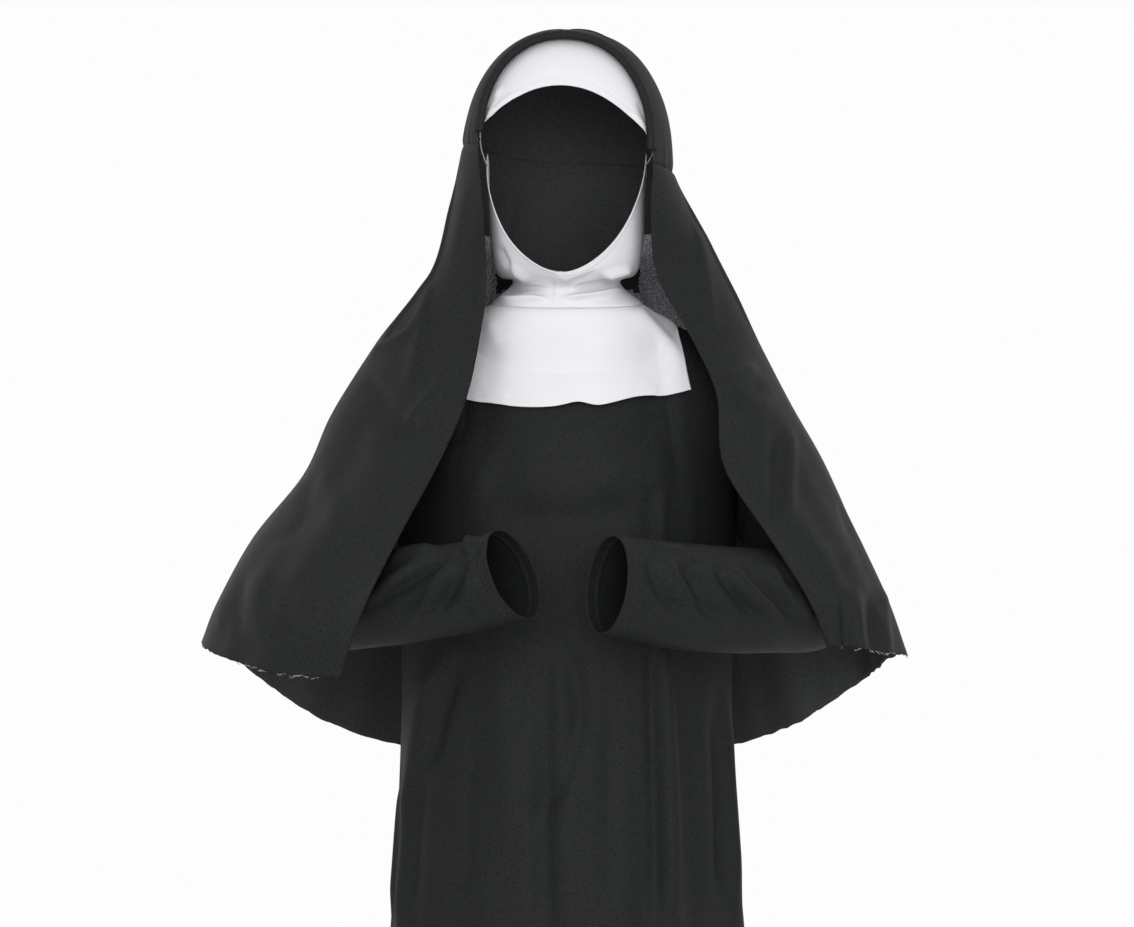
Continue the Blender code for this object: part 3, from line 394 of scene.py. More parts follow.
def curve_at(rows, share):
    """Points at shares from 0 to 1 of a smooth curve through the rows, which lie evenly along it."""
    rows = np.asarray(rows, float)
    last = len(rows) - 1
    place = np.clip(share, 0.0, 1.0) * last
    first = np.minimum(place.astype(int), last - 1)
    step = (place - first)[..., None]
    padded = np.vstack([2 * rows[0] - rows[1], rows, 2 * rows[-1] - rows[-2]])
    before, start, end, after = (padded[first + offset] for offset in range(4))
    square = 2 * before - 5 * start + 4 * end - after
    cube = 3 * (start - end) + after - before
    return start + 0.5 * step * (end - before + step * (square + step * cube))


def smooth_value(rows, key):
    """Rows of a table at values of its first column, on a smooth curve through the rows."""
    rows = np.asarray(rows, float)
    rows = rows[np.argsort(rows[:, 0])]
    places, values = rows[:, 0], rows[:, 1:]
    slopes = np.gradient(values, places, axis=0)
    index = np.clip(np.searchsorted(places, key) - 1, 0, len(places) - 2)
    width = (places[index + 1] - places[index])[..., None]
    step = np.clip((key - places[index])[..., None] / width, 0.0, 1.0)
    start, end = values[index], values[index + 1]
    rise = step * step * (3 - 2 * step)
    leave = step * (1 - step) ** 2
    arrive = step * step * (step - 1)
    return start + (end - start) * rise + width * (leave * slopes[index] + arrive * slopes[index + 1])


def soft_step(share):
    share = np.clip(share, 0.0, 1.0)
    return share * share * (3.0 - 2.0 * share)


def bump(distance, half_width):
    """Soft ridge, 1 in the middle and 0 from half_width on."""
    return np.where(np.abs(distance) < half_width, np.cos(0.5 * np.pi * distance / half_width) ** 2, 0.0)


def bezier(start, first, second, end, share):
    share = share[..., None]
    rest = 1.0 - share
    return rest**3 * start + 3 * rest**2 * share * first + 3 * rest * share**2 * second + share**3 * end


def unit(vectors):
    return vectors / np.maximum(np.linalg.norm(vectors, axis=-1, keepdims=True), 1e-12)


def stack(x, y, z):
    return np.stack(np.broadcast_arrays(x, y, z), axis=-1).astype(float)


def grid_normals(points, inside, ring=False):
    """Unit normals of a grid of points, pointing away from the places inside it."""
    if ring:
        across = np.roll(points, -1, axis=1) - np.roll(points, 1, axis=1)
    else:
        across = np.gradient(points, axis=1)
    normals = unit(np.cross(across, np.gradient(points, axis=0)))
    return normals if np.sum(normals * (points - inside)) > 0 else -normals


def photo_place(points):
    """Pixels at which the photo's camera sees the points."""
    size = PIXEL_SIZE * (CAMERA_DISTANCE + points[..., 1]) / CAMERA_DISTANCE
    return PHOTO_MIDDLE[0] + points[..., 0] / size, PHOTO_MIDDLE[1] - (points[..., 2] - CAMERA_Z) / size


def crease_height(x, y, path, out, left_width, right_width):
    """Height of one crease: a soft ridge along a path, fading out towards its ends."""
    path = curve_at(path, np.linspace(0.0, 1.0, 6 * len(path)))
    lengths = np.linalg.norm(np.diff(path, axis=0), axis=1)
    nearest = np.full(x.shape, np.inf)
    side, run = np.zeros(x.shape), np.zeros(x.shape)
    before = 0.0
    for start, end, length in zip(path[:-1], path[1:], lengths):
        way = (end - start) / length
        along = np.clip((x - start[0]) * way[0] + (y - start[1]) * way[1], 0.0, length)
        off_x, off_y = x - start[0] - along * way[0], y - start[1] - along * way[1]
        distance = np.hypot(off_x, off_y)
        closer = distance < nearest
        nearest = np.where(closer, distance, nearest)
        side = np.where(closer, way[0] * off_y - way[1] * off_x, side)
        run = np.where(closer, before + along, run)
        before += length
    place = run / before
    width = np.where(side < 0.0, left_width, right_width)
    fade = soft_step(place / 0.30) * soft_step((1.0 - place) / 0.30)
    return out * np.exp(-((nearest / width) ** 2)) * fade


def photo_creases(points, normals, creases):
    """Heights of the creases on what faces the photo's camera."""
    x, y = photo_place(points)
    height = np.zeros(x.shape)
    for path, out, left_width, right_width in creases:
        height += crease_height(x, y, path, out, left_width, right_width)
    return height * soft_step((-normals[..., 1] - 0.02) / 0.30)


def ripples(points, size, height, seed):
    """Gentle unevenness of lying cloth: a few waves of about the given size, in directions set by the seed."""
    chance = np.random.default_rng(int(seed))
    total = np.zeros(points.shape[:-1])
    for _ in range(7):
        direction = unit(chance.normal(size=3) * np.array([1.0, 1.0, 0.6]))
        length = size * chance.uniform(0.7, 1.5)
        total += np.sin(2 * np.pi * (points @ direction) / length + chance.uniform(0, 2 * np.pi))
    return height * total / 7**0.5


# Materials

def fabric(name, colour, roughness, specular, sheen, grain, uneven=0.0):
    """Knitted cloth: a fine grain in its relief and a little unevenness in its colour."""
    made = bpy.data.materials.new(name)
    made.use_nodes = True
    nodes, links = made.node_tree.nodes, made.node_tree.links
    shader = nodes["Principled BSDF"]
    shader.inputs["Roughness"].default_value = roughness
    shader.inputs["Specular IOR Level"].default_value = specular
    shader.inputs["Sheen Weight"].default_value = sheen
    shader.inputs["Sheen Roughness"].default_value = 0.45
    shader.inputs["Base Color"].default_value = (*colour, 1.0)
    place = nodes.new("ShaderNodeTexCoord")
    knit = nodes.new("ShaderNodeTexNoise")
    knit.inputs["Scale"].default_value = grain
    knit.inputs["Detail"].default_value = 2.0
    links.new(place.outputs["Object"], knit.inputs["Vector"])
    relief = nodes.new("ShaderNodeBump")
    relief.inputs["Strength"].default_value = 0.40
    relief.inputs["Distance"].default_value = 0.0006
    links.new(knit.outputs["Fac"], relief.inputs["Height"])
    links.new(relief.outputs["Normal"], shader.inputs["Normal"])
    if uneven:
        ramp = nodes.new("ShaderNodeValToRGB")
        ramp.color_ramp.elements[0].position = 0.30
        ramp.color_ramp.elements[1].position = 0.70
        ramp.color_ramp.elements[0].color = (*[part * (1.0 - uneven) for part in colour], 1.0)
        ramp.color_ramp.elements[1].color = (*[part * (1.0 + uneven) for part in colour], 1.0)
        links.new(knit.outputs["Fac"], ramp.inputs["Fac"])
        links.new(ramp.outputs["Color"], shader.inputs["Base Color"])
    return made


def melange(name, dark, light):
    """Heathered knit: pale fibres among dark ones."""
    made = fabric(name, dark, 0.85, 0.20, 0.0, 1400.0)
    nodes, links = made.node_tree.nodes, made.node_tree.links
    place = nodes["Texture Coordinate"]
    fleck = nodes.new("ShaderNodeTexNoise")
    fleck.inputs["Scale"].default_value = 760.0
    fleck.inputs["Detail"].default_value = 4.0
    fleck.inputs["Roughness"].default_value = 0.75
    links.new(place.outputs["Object"], fleck.inputs["Vector"])
    ramp = nodes.new("ShaderNodeValToRGB")
    ramp.color_ramp.elements[0].position = 0.42
    ramp.color_ramp.elements[1].position = 0.60
    ramp.color_ramp.elements[0].color = (*dark, 1.0)
    ramp.color_ramp.elements[1].color = (*light, 1.0)
    links.new(fleck.outputs["Fac"], ramp.inputs["Fac"])
    links.new(ramp.outputs["Color"], nodes["Principled BSDF"].inputs["Base Color"])
    return made


BLACK_KNIT = fabric("black_knit_cloth", (0.0100, 0.0108, 0.0108), 0.62, 0.10, 0.0, 800.0, 0.50)
VEIL_KNIT = fabric("black_veil_knit", (0.0112, 0.0120, 0.0122), 0.62, 0.10, 0.0, 800.0, 0.50)
# Inside of the veil: a little lighter than the outside, and its colour raised further as painted light that offsets
# the shade inside the veil
VEIL_INSIDE_PAINTED_LIGHT = fabric("black_veil_inside_painted_light", (0.0330, 0.0345, 0.0350), 0.80, 0.10, 0.0, 800.0, 0.30)
WHITE_KNIT = fabric("white_knit_cloth", (0.60, 0.59, 0.62), 0.85, 0.15, 0.0, 1600.0)
BLACK_THREAD = fabric("black_thread", (0.030, 0.032, 0.032), 0.50, 0.25, 0.0, 2600.0)
WHITE_THREAD = fabric("white_thread", (0.72, 0.72, 0.74), 0.60, 0.25, 0.0, 2600.0)
PALE_THREAD = fabric("pale_thread", (0.42, 0.42, 0.43), 0.70, 0.25, 0.0, 2600.0)
GREY_MELANGE = melange("grey_melange", (0.10, 0.10, 0.11), (0.60, 0.61, 0.66))
ELASTIC = fabric("elastic_rib", (0.30, 0.30, 0.31), 0.70, 0.25, 0.0, 2200.0)


# Meshes

def mesh_object(name, points, faces, finishes, finish_of_face=None):
    mesh = bpy.data.meshes.new(name)
    mesh.from_pydata(np.asarray(points).tolist(), [], faces)
    for finish in finishes:
        mesh.materials.append(finish)
    if finish_of_face is not None:
        mesh.polygons.foreach_set("material_index", np.asarray(finish_of_face, np.int32))
    shape = bmesh.new()
    shape.from_mesh(mesh)
    bmesh.ops.remove_doubles(shape, verts=shape.verts, dist=1e-7)
    bmesh.ops.recalc_face_normals(shape, faces=shape.faces)
    shape.to_mesh(mesh)
    shape.free()
    mesh.shade_smooth()
    made = bpy.data.objects.new(name, mesh)
    bpy.context.collection.objects.link(made)
    return made


def shell(name, points, normals, cloth, finishes, ring=False, lined=None):
    """Thin closed wall: the grid of points is its outer side. Inner faces take the finish whose number lined has."""
    rows, columns = points.shape[:2]
    index = np.arange(rows * columns).reshape(rows, columns)
    if ring:
        index = np.hstack([index, index[:, :1]])
    corners = [index[:-1, :-1], index[:-1, 1:], index[1:, 1:], index[1:, :-1]]
    outer = np.stack(corners, axis=-1).reshape(-1, 4)
    count = rows * columns
    edges = [index[0], index[-1]]
    if not ring:
        edges += [index[:, 0], index[:, -1]]
    rims = [np.stack([edge[:-1], edge[1:], edge[1:] + count, edge[:-1] + count], axis=-1) for edge in edges]
    faces = np.concatenate([outer, outer[:, ::-1] + count, *rims])
    finish_of_face = np.zeros(len(faces), int)
    if lined is not None:
        finish_of_face[len(outer):2 * len(outer)] = lined[:-1, :index.shape[1] - 1].ravel()
    inner = points - cloth * normals
    both = np.concatenate([points.reshape(-1, 3), inner.reshape(-1, 3)])
    return mesh_object(name, both, faces.tolist(), finishes, finish_of_face)


def tubes(name, lines, radius, finish, sides=5):
    """Thin closed tubes along lines of points, joined to one mesh."""
    points, faces = [], []
    for line in lines:
        line = np.asarray(line, float)
        way = unit(np.gradient(line, axis=0))
        helper = np.where(np.abs(way[:, 2:3]) < 0.9, np.array([0.0, 0.0, 1.0]), np.array([1.0, 0.0, 0.0]))
        first = unit(np.cross(way, helper))
        second = np.cross(way, first)
        start = len(points)
        for row in range(len(line)):
            for side in range(sides):
                turn = 2.0 * math.pi * side / sides
                points.append(line[row] + radius * (first[row] * math.cos(turn) + second[row] * math.sin(turn)))
        for row in range(len(line) - 1):
            for side in range(sides):
                after = (side + 1) % sides
                low, high = start + row * sides, start + (row + 1) * sides
                faces.append([low + side, low + after, high + after, high + side])
        faces.append([start + side for side in range(sides)])
        faces.append([start + (len(line) - 1) * sides + side for side in range(sides)])
    return mesh_object(name, points, faces, [finish])


def stitches(name, path, normals, length, gap, radius, finish, closed=False):
    """Row of sunk stitches along a path on the cloth."""
    path, normals = np.asarray(path), np.asarray(normals)
    if closed:
        path, normals = np.vstack([path, path[:1]]), np.vstack([normals, normals[:1]])
    steps = np.linalg.norm(np.diff(path, axis=0), axis=1)
    places = np.concatenate([[0.0], np.cumsum(steps)])

    def at(place):
        point = np.array([np.interp(place, places, path[:, axis]) for axis in range(3)])
        normal = np.array([np.interp(place, places, normals[:, axis]) for axis in range(3)])
        return point, unit(normal)

    lines = []
    for number in range(int(places[-1] / (length + gap))):
        line = []
        for share, lift in ((0.0, -0.6), (0.25, 0.5), (0.75, 0.5), (1.0, -0.6)):
            point, normal = at(number * (length + gap) + share * length)
            line.append(point + normal * radius * lift)
        lines.append(line)
    return tubes(name, lines, radius, finish, 4)


def give(piece, node=None):
    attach(piece, "root")
    if node:
        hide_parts(node)
    return piece


# Habit

def habit_ring(angle, z):
    sizes = smooth_value(HABIT_RINGS, z)
    half_width, front, back = sizes[..., 0], sizes[..., 1], sizes[..., 2]
    turn = np.radians(angle)
    reach = np.where(np.cos(turn) >= 0.0, front, back)
    normal = unit(stack(np.sin(turn) / half_width, -np.cos(turn) / reach, 0.0))
    height = np.zeros(np.shape(z))
    for top, hem, start_z, out, width in SKIRT_FOLDS:
        grown = np.clip((start_z - z) / (start_z - HEM_Z), 0.0, 1.0)
        distance = (angle - top - (hem - top) * grown + 180.0) % 360.0 - 180.0
        height = height + out * grown**0.75 * bump(distance, width)
    return stack(half_width * np.sin(turn), -reach * np.cos(turn), z) + height[..., None] * normal


def armhole(facing, share):
    first = SHOULDER_TIP + np.array([-0.010, facing * 0.060, -0.006])
    second = ARMHOLE_BOTTOM + np.array([-0.006, facing * 0.058, 0.008])
    return bezier(SHOULDER_TIP, first, second, ARMHOLE_BOTTOM, share)


def bodice(facing, across, share):
    """Points of the habit above the armpits: across from -1 to 1, share from the shoulders to the armpits."""
    place = np.minimum(np.abs(across), 1.0)
    depth = FRONT_NECK_DEPTH if facing < 0 else BACK_NECK_DEPTH
    reach = FRONT_NECK_REACH if facing < 0 else BACK_NECK_REACH
    along = np.clip((place - NECKLINE_SHARE) / (1.0 - NECKLINE_SHARE), 0.0, 1.0)[..., None]
    shoulder = NECK_POINT + (SHOULDER_TIP - NECK_POINT) * along
    turn = 0.5 * np.pi * np.minimum(place / NECKLINE_SHARE, 1.0)
    level = np.maximum(np.cos(turn), 0.0)
    neck = stack(NECK_POINT[0] * np.sin(turn), NECK_POINT[1] + facing * reach * level,
                 NECK_POINT[2] - depth * level**1.3)
    top = np.where((place >= NECKLINE_SHARE)[..., None], shoulder, neck)
    angle = 90.0 * place if facing < 0 else 180.0 - 90.0 * place
    bottom = habit_ring(angle, np.full(place.shape, ARMPIT_Z))
    on_shoulder = soft_step((place - 0.30) / 0.25)[..., None]
    near_armhole = soft_step((place - 0.55) / 0.45)[..., None]
    neck_handle = np.array([0.0, facing * 0.026, -0.030])
    shoulder_handle = near_armhole * np.array([-0.010, 0.0, 0.0]) + np.array([0.0, facing * 0.060, -0.006])
    body_handle = np.array([0.0, facing * 0.002, 0.075])
    underarm_handle = np.array([-0.006, facing * 0.058, 0.008])
    first = top + neck_handle + (shoulder_handle - neck_handle) * on_shoulder
    second = bottom + body_handle + (underarm_handle - body_handle) * near_armhole
    points = bezier(top, first, second, bottom, share)
    return points * stack(np.where(across >= 0.0, 1.0, -1.0), 1.0, 1.0)


def habit_points(facing, across, v):
    upper = UPPER_SHARE[facing]
    above = bodice(facing, across, np.clip(v / upper, 0.0, 1.0))
    z = ARMPIT_Z + (HEM_Z - ARMPIT_Z) * np.clip((v - upper) / (1.0 - upper), 0.0, 1.0)
    angle = 90.0 * across if facing < 0 else 180.0 - 90.0 * across
    return np.where((v <= upper)[..., None], above, habit_ring(angle, z))


# Creases on the hidden back of the habit: across and down at both ends, how far out, and the half width across
BACK_CREASES = [
    # across_top, v_top, across_low, v_low, out, half_width
    (-0.62, 0.16, -0.34, 0.42, -0.0030, 0.060),
    (0.58, 0.14, 0.30, 0.38, -0.0034, 0.064),
    (-0.80, 0.42, -0.52, 0.60, 0.0036, 0.070),
    (0.82, 0.46, 0.50, 0.66, 0.0030, 0.066),
    (-0.20, 0.46, -0.14, 0.80, -0.0026, 0.060),
    (0.12, 0.40, 0.20, 0.74, 0.0030, 0.058),
    (0.44, 0.56, 0.46, 0.96, -0.0034, 0.056),
    (-0.46, 0.62, -0.50, 0.98, 0.0036, 0.062),
]


def table_creases(across, v, creases):
    """Heights of creases given on the piece itself, each running straight from one place to another."""
    height = np.zeros(np.shape(v))
    for across_top, v_top, across_low, v_low, out, half_width in creases:
        along = np.clip((v - v_top) / (v_low - v_top), 0.0, 1.0)
        middle = across_top + (across_low - across_top) * along
        fade = soft_step(along / 0.3) * soft_step((1.0 - along) / 0.3)
        height += out * fade * bump(across - middle, half_width)
    return height


def build_habit(name, facing):
    upper = UPPER_SHARE[facing]
    if facing < 0:
        columns = 176
        shares = [np.linspace(0.0, upper, 54, endpoint=False), np.linspace(upper, 0.66, 84, endpoint=False),
                  np.linspace(0.66, 0.985, 56, endpoint=False), np.linspace(0.985, 1.0, 12)]
    else:
        columns = 120
        shares = [np.linspace(0.0, upper, 40, endpoint=False), np.linspace(upper, 0.985, 78, endpoint=False),
                  np.linspace(0.985, 1.0, 12)]
    across, v = np.meshgrid(np.linspace(-1.0, 1.0, columns), np.concatenate(shares))
    points = habit_points(facing, across, v)
    inside = points * np.array([0.0, 0.0, 1.0])
    normals = grid_normals(points, inside)
    if facing < 0:
        height = photo_creases(points, normals, DRESS_CREASES)
    else:
        height = table_creases(across, v, BACK_CREASES)
    height += ripples(points, 0.16, 0.0007, 11 + facing)
    seam = np.exp(-(((1.0 - np.abs(across)) * 0.25 / 0.0030) ** 2))
    above_hem = (points[..., 2] - HEM_Z)
    hem = 0.0005 * soft_step((0.022 - above_hem) / 0.002) - 0.0008 * np.exp(-(((above_hem - 0.021) / 0.0016) ** 2))
    fade = soft_step((1.0 - np.abs(across)) / 0.04)
    points = points + (height * fade - 0.0011 * seam + hem)[..., None] * normals
    normals = grid_normals(points, inside)
    piece = give(shell(name + "_cloth", points, normals, BLACK_CLOTH, [BLACK_KNIT]), name)
    row = int(np.argmin(np.abs(points[:, columns // 2, 2] - (HEM_Z + 0.021))))
    sewn = give(stitches(name + "_hem_stitches", points[row], normals[row], 0.0034, 0.0016, 0.00022, BLACK_THREAD))
    return piece, sewn, points


# Sleeves

def sleeve_ring(sections, u, v):
    row = curve_at(sections, v)
    outer, inner, half_depth = row[..., 0:3], row[..., 3:6], row[..., 6:7]

    def centre_at(share):
        at = curve_at(sections, np.clip(share, 0.0, 1.0))
        return 0.5 * (at[..., 0:3] + at[..., 3:6])

    up = 0.5 * (outer - inner)
    across = unit(np.cross(centre_at(v + 0.02) - centre_at(v - 0.02), up))
    turn = np.radians(u)[..., None]
    radial = up * np.cos(turn) + across * half_depth * np.sin(turn)
    height = np.zeros(v.shape)
    for place, middle, out, half_along, half_round, slant in SLEEVE_FOLDS:
        distance = (u % 360.0 - middle + 180.0) % 360.0 - 180.0
        height = height + out * bump(v - place - slant * distance, half_along) * bump(distance, half_round)
    return 0.5 * (outer + inner) + radial + unit(radial) * height[..., None]


def sleeve_points(name, u, v):
    sections = SLEEVE_SECTIONS[name]
    points = sleeve_ring(sections, u, v)
    at_seam = 1.0 - soft_step(v / 0.22)
    lap = (u % 360.0) / 180.0
    seam = np.where((lap <= 1.0)[..., None], armhole(-1, np.minimum(lap, 1.0)), armhole(1, np.minimum(2.0 - lap, 1.0)))
    return points + (seam - sleeve_ring(sections, u, np.zeros(v.shape))) * at_seam[..., None]


# Creases round the elbow and under the arm that the photo doesn't show: angle and place along the sleeve at both
# ends, how far out, and the half width along the sleeve
ELBOW_CREASES = [
    # round_start, v_start, round_end, v_end, out, half_width
    (150.0, 0.30, 250.0, 0.36, -0.0040, 0.030),
    (160.0, 0.42, 255.0, 0.40, 0.0036, 0.026),
    (150.0, 0.52, 245.0, 0.46, -0.0044, 0.028),
    (200.0, 0.62, 330.0, 0.54, 0.0034, 0.026),
    (190.0, 0.72, 320.0, 0.66, -0.0034, 0.026),
    (210.0, 0.84, 330.0, 0.78, 0.0030, 0.026),
    (30.0, 0.16, 130.0, 0.26, -0.0030, 0.026),
    (230.0, 0.14, 330.0, 0.24, -0.0030, 0.026),
]


def build_sleeve(name, side):
    columns = 132
    angles = np.arange(columns) * 360.0 / columns
    shares = np.concatenate([np.linspace(0.0, 0.03, 6, endpoint=False), np.linspace(0.03, 0.95, 112, endpoint=False),
                             np.linspace(0.95, 1.0, 22)])
    u, v = np.meshgrid(angles, shares)
    mirror = np.array([side, 1.0, 1.0])
    points = sleeve_points(name, u, v) * mirror
    row = curve_at(SLEEVE_SECTIONS[name], v)
    inside = 0.5 * (row[..., 0:3] + row[..., 3:6]) * mirror
    normals = grid_normals(points, inside, True)
    height = photo_creases(points, normals, SLEEVE_CREASES[name])
    for round_start, v_start, round_end, v_end, out, half_width in ELBOW_CREASES:
        along = np.clip((u - round_start) / (round_end - round_start), 0.0, 1.0)
        middle = v_start + (v_end - v_start) * along
        height += out * np.sin(np.pi * along) ** 1.2 * bump(v - middle, half_width)
    height += ripples(points, 0.09, 0.0005, 21 + side)
    height *= soft_step(v / 0.08) * (0.25 + 0.75 * soft_step((1.0 - v) / 0.06))
    to_cuff = np.linalg.norm(points - points[-1:], axis=-1)
    hem = 0.0004 * soft_step((0.0130 - to_cuff) / 0.0015) - 0.0009 * np.exp(-(((to_cuff - 0.0125) / 0.0013) ** 2))
    seam = 0.0010 * np.exp(-((v / 0.008) ** 2))
    points = points + (height + hem - seam)[..., None] * normals
    normals = grid_normals(points, inside, True)
    piece = give(shell(name + "_cloth", points, normals, BLACK_CLOTH, [BLACK_KNIT], ring=True), name)
    stitch_row = int(np.argmin(np.abs(to_cuff[:, 0] - 0.0125)))
    sewn = give(stitches(name + "_cuff_stitches", points[stitch_row], normals[stitch_row], 0.0028, 0.0014, 0.00022,
                         BLACK_THREAD, closed=True))
    return piece, sewn, points


# Veil

def fall_base(place, share):
    row = curve_at(FALL_SECTIONS, share)
    left_edge, left_side = row[..., 0:3], row[..., 3:6]
    back = stack(0.0, row[..., 6], row[..., 7])
    right_side, right_edge = row[..., 8:11], row[..., 11:14]
    most_turn = np.radians(row[..., 14])
    square = 1.0 - BACK_SQUARENESS * soft_step(share / 0.35)

    def behind(side, turn):
        turn = np.clip(turn, 0.0, 0.5 * np.pi)
        level, rise = np.maximum(np.cos(turn), 0.0), np.maximum(np.sin(turn), 0.0)
        return stack(side[..., 0] * level**square, side[..., 1] + (back[..., 1] - side[..., 1]) * rise**square,
                     side[..., 2] + (back[..., 2] - side[..., 2]) * rise**2)

    def before(side, edge, along):
        turn = most_turn * np.maximum(along, 0.0)
        width = (side[..., 0] - edge[..., 0]) / (1.0 - np.cos(most_turn))
        depth = (side[..., 1] - edge[..., 1]) / np.sin(most_turn)
        rise = (np.sin(turn) / np.sin(most_turn)) ** 2
        return stack(side[..., 0] - width * (1.0 - np.cos(turn)), side[..., 1] - depth * np.sin(turn),
                     side[..., 2] + (edge[..., 2] - side[..., 2]) * rise)

    left_turn = 0.5 * np.pi * (place - LEFT_SIDE_SHARE) / (0.5 - LEFT_SIDE_SHARE)
    right_turn = 0.5 * np.pi * (RIGHT_SIDE_SHARE - place) / (RIGHT_SIDE_SHARE - 0.5)
    points = np.where((place <= 0.5)[..., None], behind(left_side, left_turn), behind(right_side, right_turn))
    left_front = before(left_side, left_edge, (LEFT_SIDE_SHARE - place) / LEFT_SIDE_SHARE)
    right_front = before(right_side, right_edge, (place - RIGHT_SIDE_SHARE) / (1.0 - RIGHT_SIDE_SHARE))
    points = np.where((place < LEFT_SIDE_SHARE)[..., None], left_front, points)
    return np.where((place > RIGHT_SIDE_SHARE)[..., None], right_front, points)


def crown_radius(direction):
    return (np.abs(direction / CROWN_HALF) ** CROWN_ROUNDNESS).sum(axis=-1) ** (-1.0 / CROWN_ROUNDNESS)


def front_edge(share):
    """Front edge of the crown, from the left ear at 0 over the top to the right ear at 1."""
    share = np.asarray(share, float)
    turn = np.pi * (share - 0.5)
    ends = fall_base(np.array([0.0, 1.0]), np.zeros(2))
    sine, cosine = np.sin(turn)[..., None], np.cos(turn)[..., None]
    middle = 0.5 * (ends[0] + ends[1]) + 0.5 * (ends[1] - ends[0]) * sine
    lifted = middle + np.array([0.0, 0.012, 0.118]) * cosine
    direction = unit(lifted - CROWN_CENTRE)
    on_crown = CROWN_CENTRE + direction * crown_radius(direction)[..., None]
    return on_crown + (lifted - on_crown) * np.abs(sine) ** 60


def crown_points(u, v):
    """Crown of the veil: u from the left ear over the front to the right ear and round the back, v from its top."""
    around = u % 2.0
    edge = np.where((around < 1.0)[..., None], front_edge(np.minimum(around, 1.0)),
                    fall_base(np.clip(2.0 - around, 0.0, 1.0), np.zeros(around.shape)))
    reach = edge - CROWN_CENTRE
    direction = unit(reach)
    up = np.array([0.0, 0.0, 1.0])
    angle = (np.arccos(np.clip(direction[..., 2], -1.0, 1.0)) * v)[..., None]
    side = unit(direction - up * direction[..., 2:3])
    turned = up * np.cos(angle) + side * np.sin(angle)
    stretch = 1.0 + (np.linalg.norm(reach, axis=-1) / crown_radius(direction) - 1.0) * v**3
    return CROWN_CENTRE + turned * (crown_radius(turned) * stretch)[..., None]


# Soft folds of the veil on its sides and back: place and share at both ends, how far out, and the half width
FALL_CREASES = [
    # place_top, share_top, place_low, share_low, out, half_width
    (0.200, 0.02, 0.180, 0.44, 0.0030, 0.020),
    (0.290, 0.01, 0.300, 0.50, -0.0034, 0.018),
    (0.355, 0.05, 0.350, 0.70, 0.0030, 0.016),
    (0.415, 0.02, 0.412, 0.52, -0.0034, 0.016),
    (0.470, 0.10, 0.474, 0.92, -0.0030, 0.014),
    (0.535, 0.04, 0.536, 0.66, 0.0034, 0.016),
    (0.590, 0.02, 0.594, 0.58, -0.0032, 0.018),
    (0.655, 0.08, 0.660, 0.88, -0.0028, 0.014),
    (0.712, 0.02, 0.724, 0.54, 0.0032, 0.018),
    (0.775, 0.10, 0.790, 0.62, -0.0034, 0.018),
    (0.830, 0.03, 0.822, 0.40, 0.0028, 0.018),
]


def build_fall():
    columns, rows = 300, 136
    shares = np.concatenate([np.linspace(0.0, 0.03, 8, endpoint=False), np.linspace(0.03, 1.0, rows)])
    place, share = np.meshgrid(np.linspace(0.0, 1.0, columns), shares)
    points = fall_base(place, share)
    inside = points * np.array([0.0, 0.0, 1.0])
    normals = grid_normals(points, inside)
    height = np.zeros(share.shape)
    for at_ears, at_hem, start, out, half_width in VEIL_FOLDS:
        grown = np.clip((share - start) / (1.0 - start), 0.0, 1.0)
        height += out * grown**0.7 * bump(place - at_ears - (at_hem - at_ears) * share, half_width)
    points = points + height[..., None] * normals
    normals = grid_normals(points, inside)
    height = photo_creases(points, normals, VEIL_CREASES)
    height += table_creases(place, share, FALL_CREASES)
    height += ripples(points, 0.13, 0.0007, 31)
    height *= soft_step(share / 0.05)
    height -= 0.0010 * np.exp(-((share / 0.006) ** 2))
    points = points + height[..., None] * normals
    chance = np.random.default_rng(5)
    frayed = np.interp(place[-1], np.linspace(0, 1, 240), chance.normal(0.0, 0.0007, 240))
    points[-1, :, 2] += frayed
    lip = points[:1] - 0.0014 * normals[:1] + np.array([0.0, 0.0, 0.006])
    points = np.concatenate([lip, points])
    place = np.concatenate([place[:1], place])
    inside = points * np.array([0.0, 0.0, 1.0])
    normals = grid_normals(points, inside)
    # Inner faces take the veil's lightened inside colour, painted light against the shade inside it, except the grey
    # melange at the nape beside the wimple
    beside_wimple = (np.abs(points[..., 0]) > 0.071) | (points[..., 2] < 0.045)
    at_nape = (points[..., 2] > -0.030) & (points[..., 2] < 0.100) & (place > 0.14) & (place < 0.90)
    lined = np.where(at_nape & beside_wimple, 2, 1)
    finishes = [VEIL_KNIT, VEIL_INSIDE_PAINTED_LIGHT, GREY_MELANGE]
    piece = give(shell("veil_fall_cloth", points, normals, BLACK_CLOTH, finishes, lined=lined),
                 "veil_fall")
    return piece, points, normals


def build_hem_threads(points, normals):
    """Loose pale threads along the veil's raw hem."""
    chance = np.random.default_rng(8)
    lines = []
    last = points.shape[1] - 8
    clusters = np.concatenate([chance.integers(8, last // 8, 9), chance.integers(last - last // 8, last, 9),
                               chance.integers(8, last, 8)])
    for number in range(90):
        column = int(np.clip(clusters[number % len(clusters)] + chance.normal(0.0, 2.5), 2, points.shape[1] - 3))
        start = points[-1, column] + normals[-1, column] * chance.uniform(-0.0007, 0.0002)
        along = unit(points[-1, column + 1] - points[-1, column - 1]) * chance.choice([-1.0, 1.0])
        down = unit(points[-1, column] - points[-3, column])
        reach, drop = chance.uniform(0.002, 0.006), chance.uniform(-0.0004, 0.0018)
        middle = start + along * reach * 0.5 + down * (drop + 0.0006)
        lines.append([start, middle, start + along * reach + down * drop])
    return give(tubes("veil_hem_threads", lines, 0.00016, PALE_THREAD, 3))


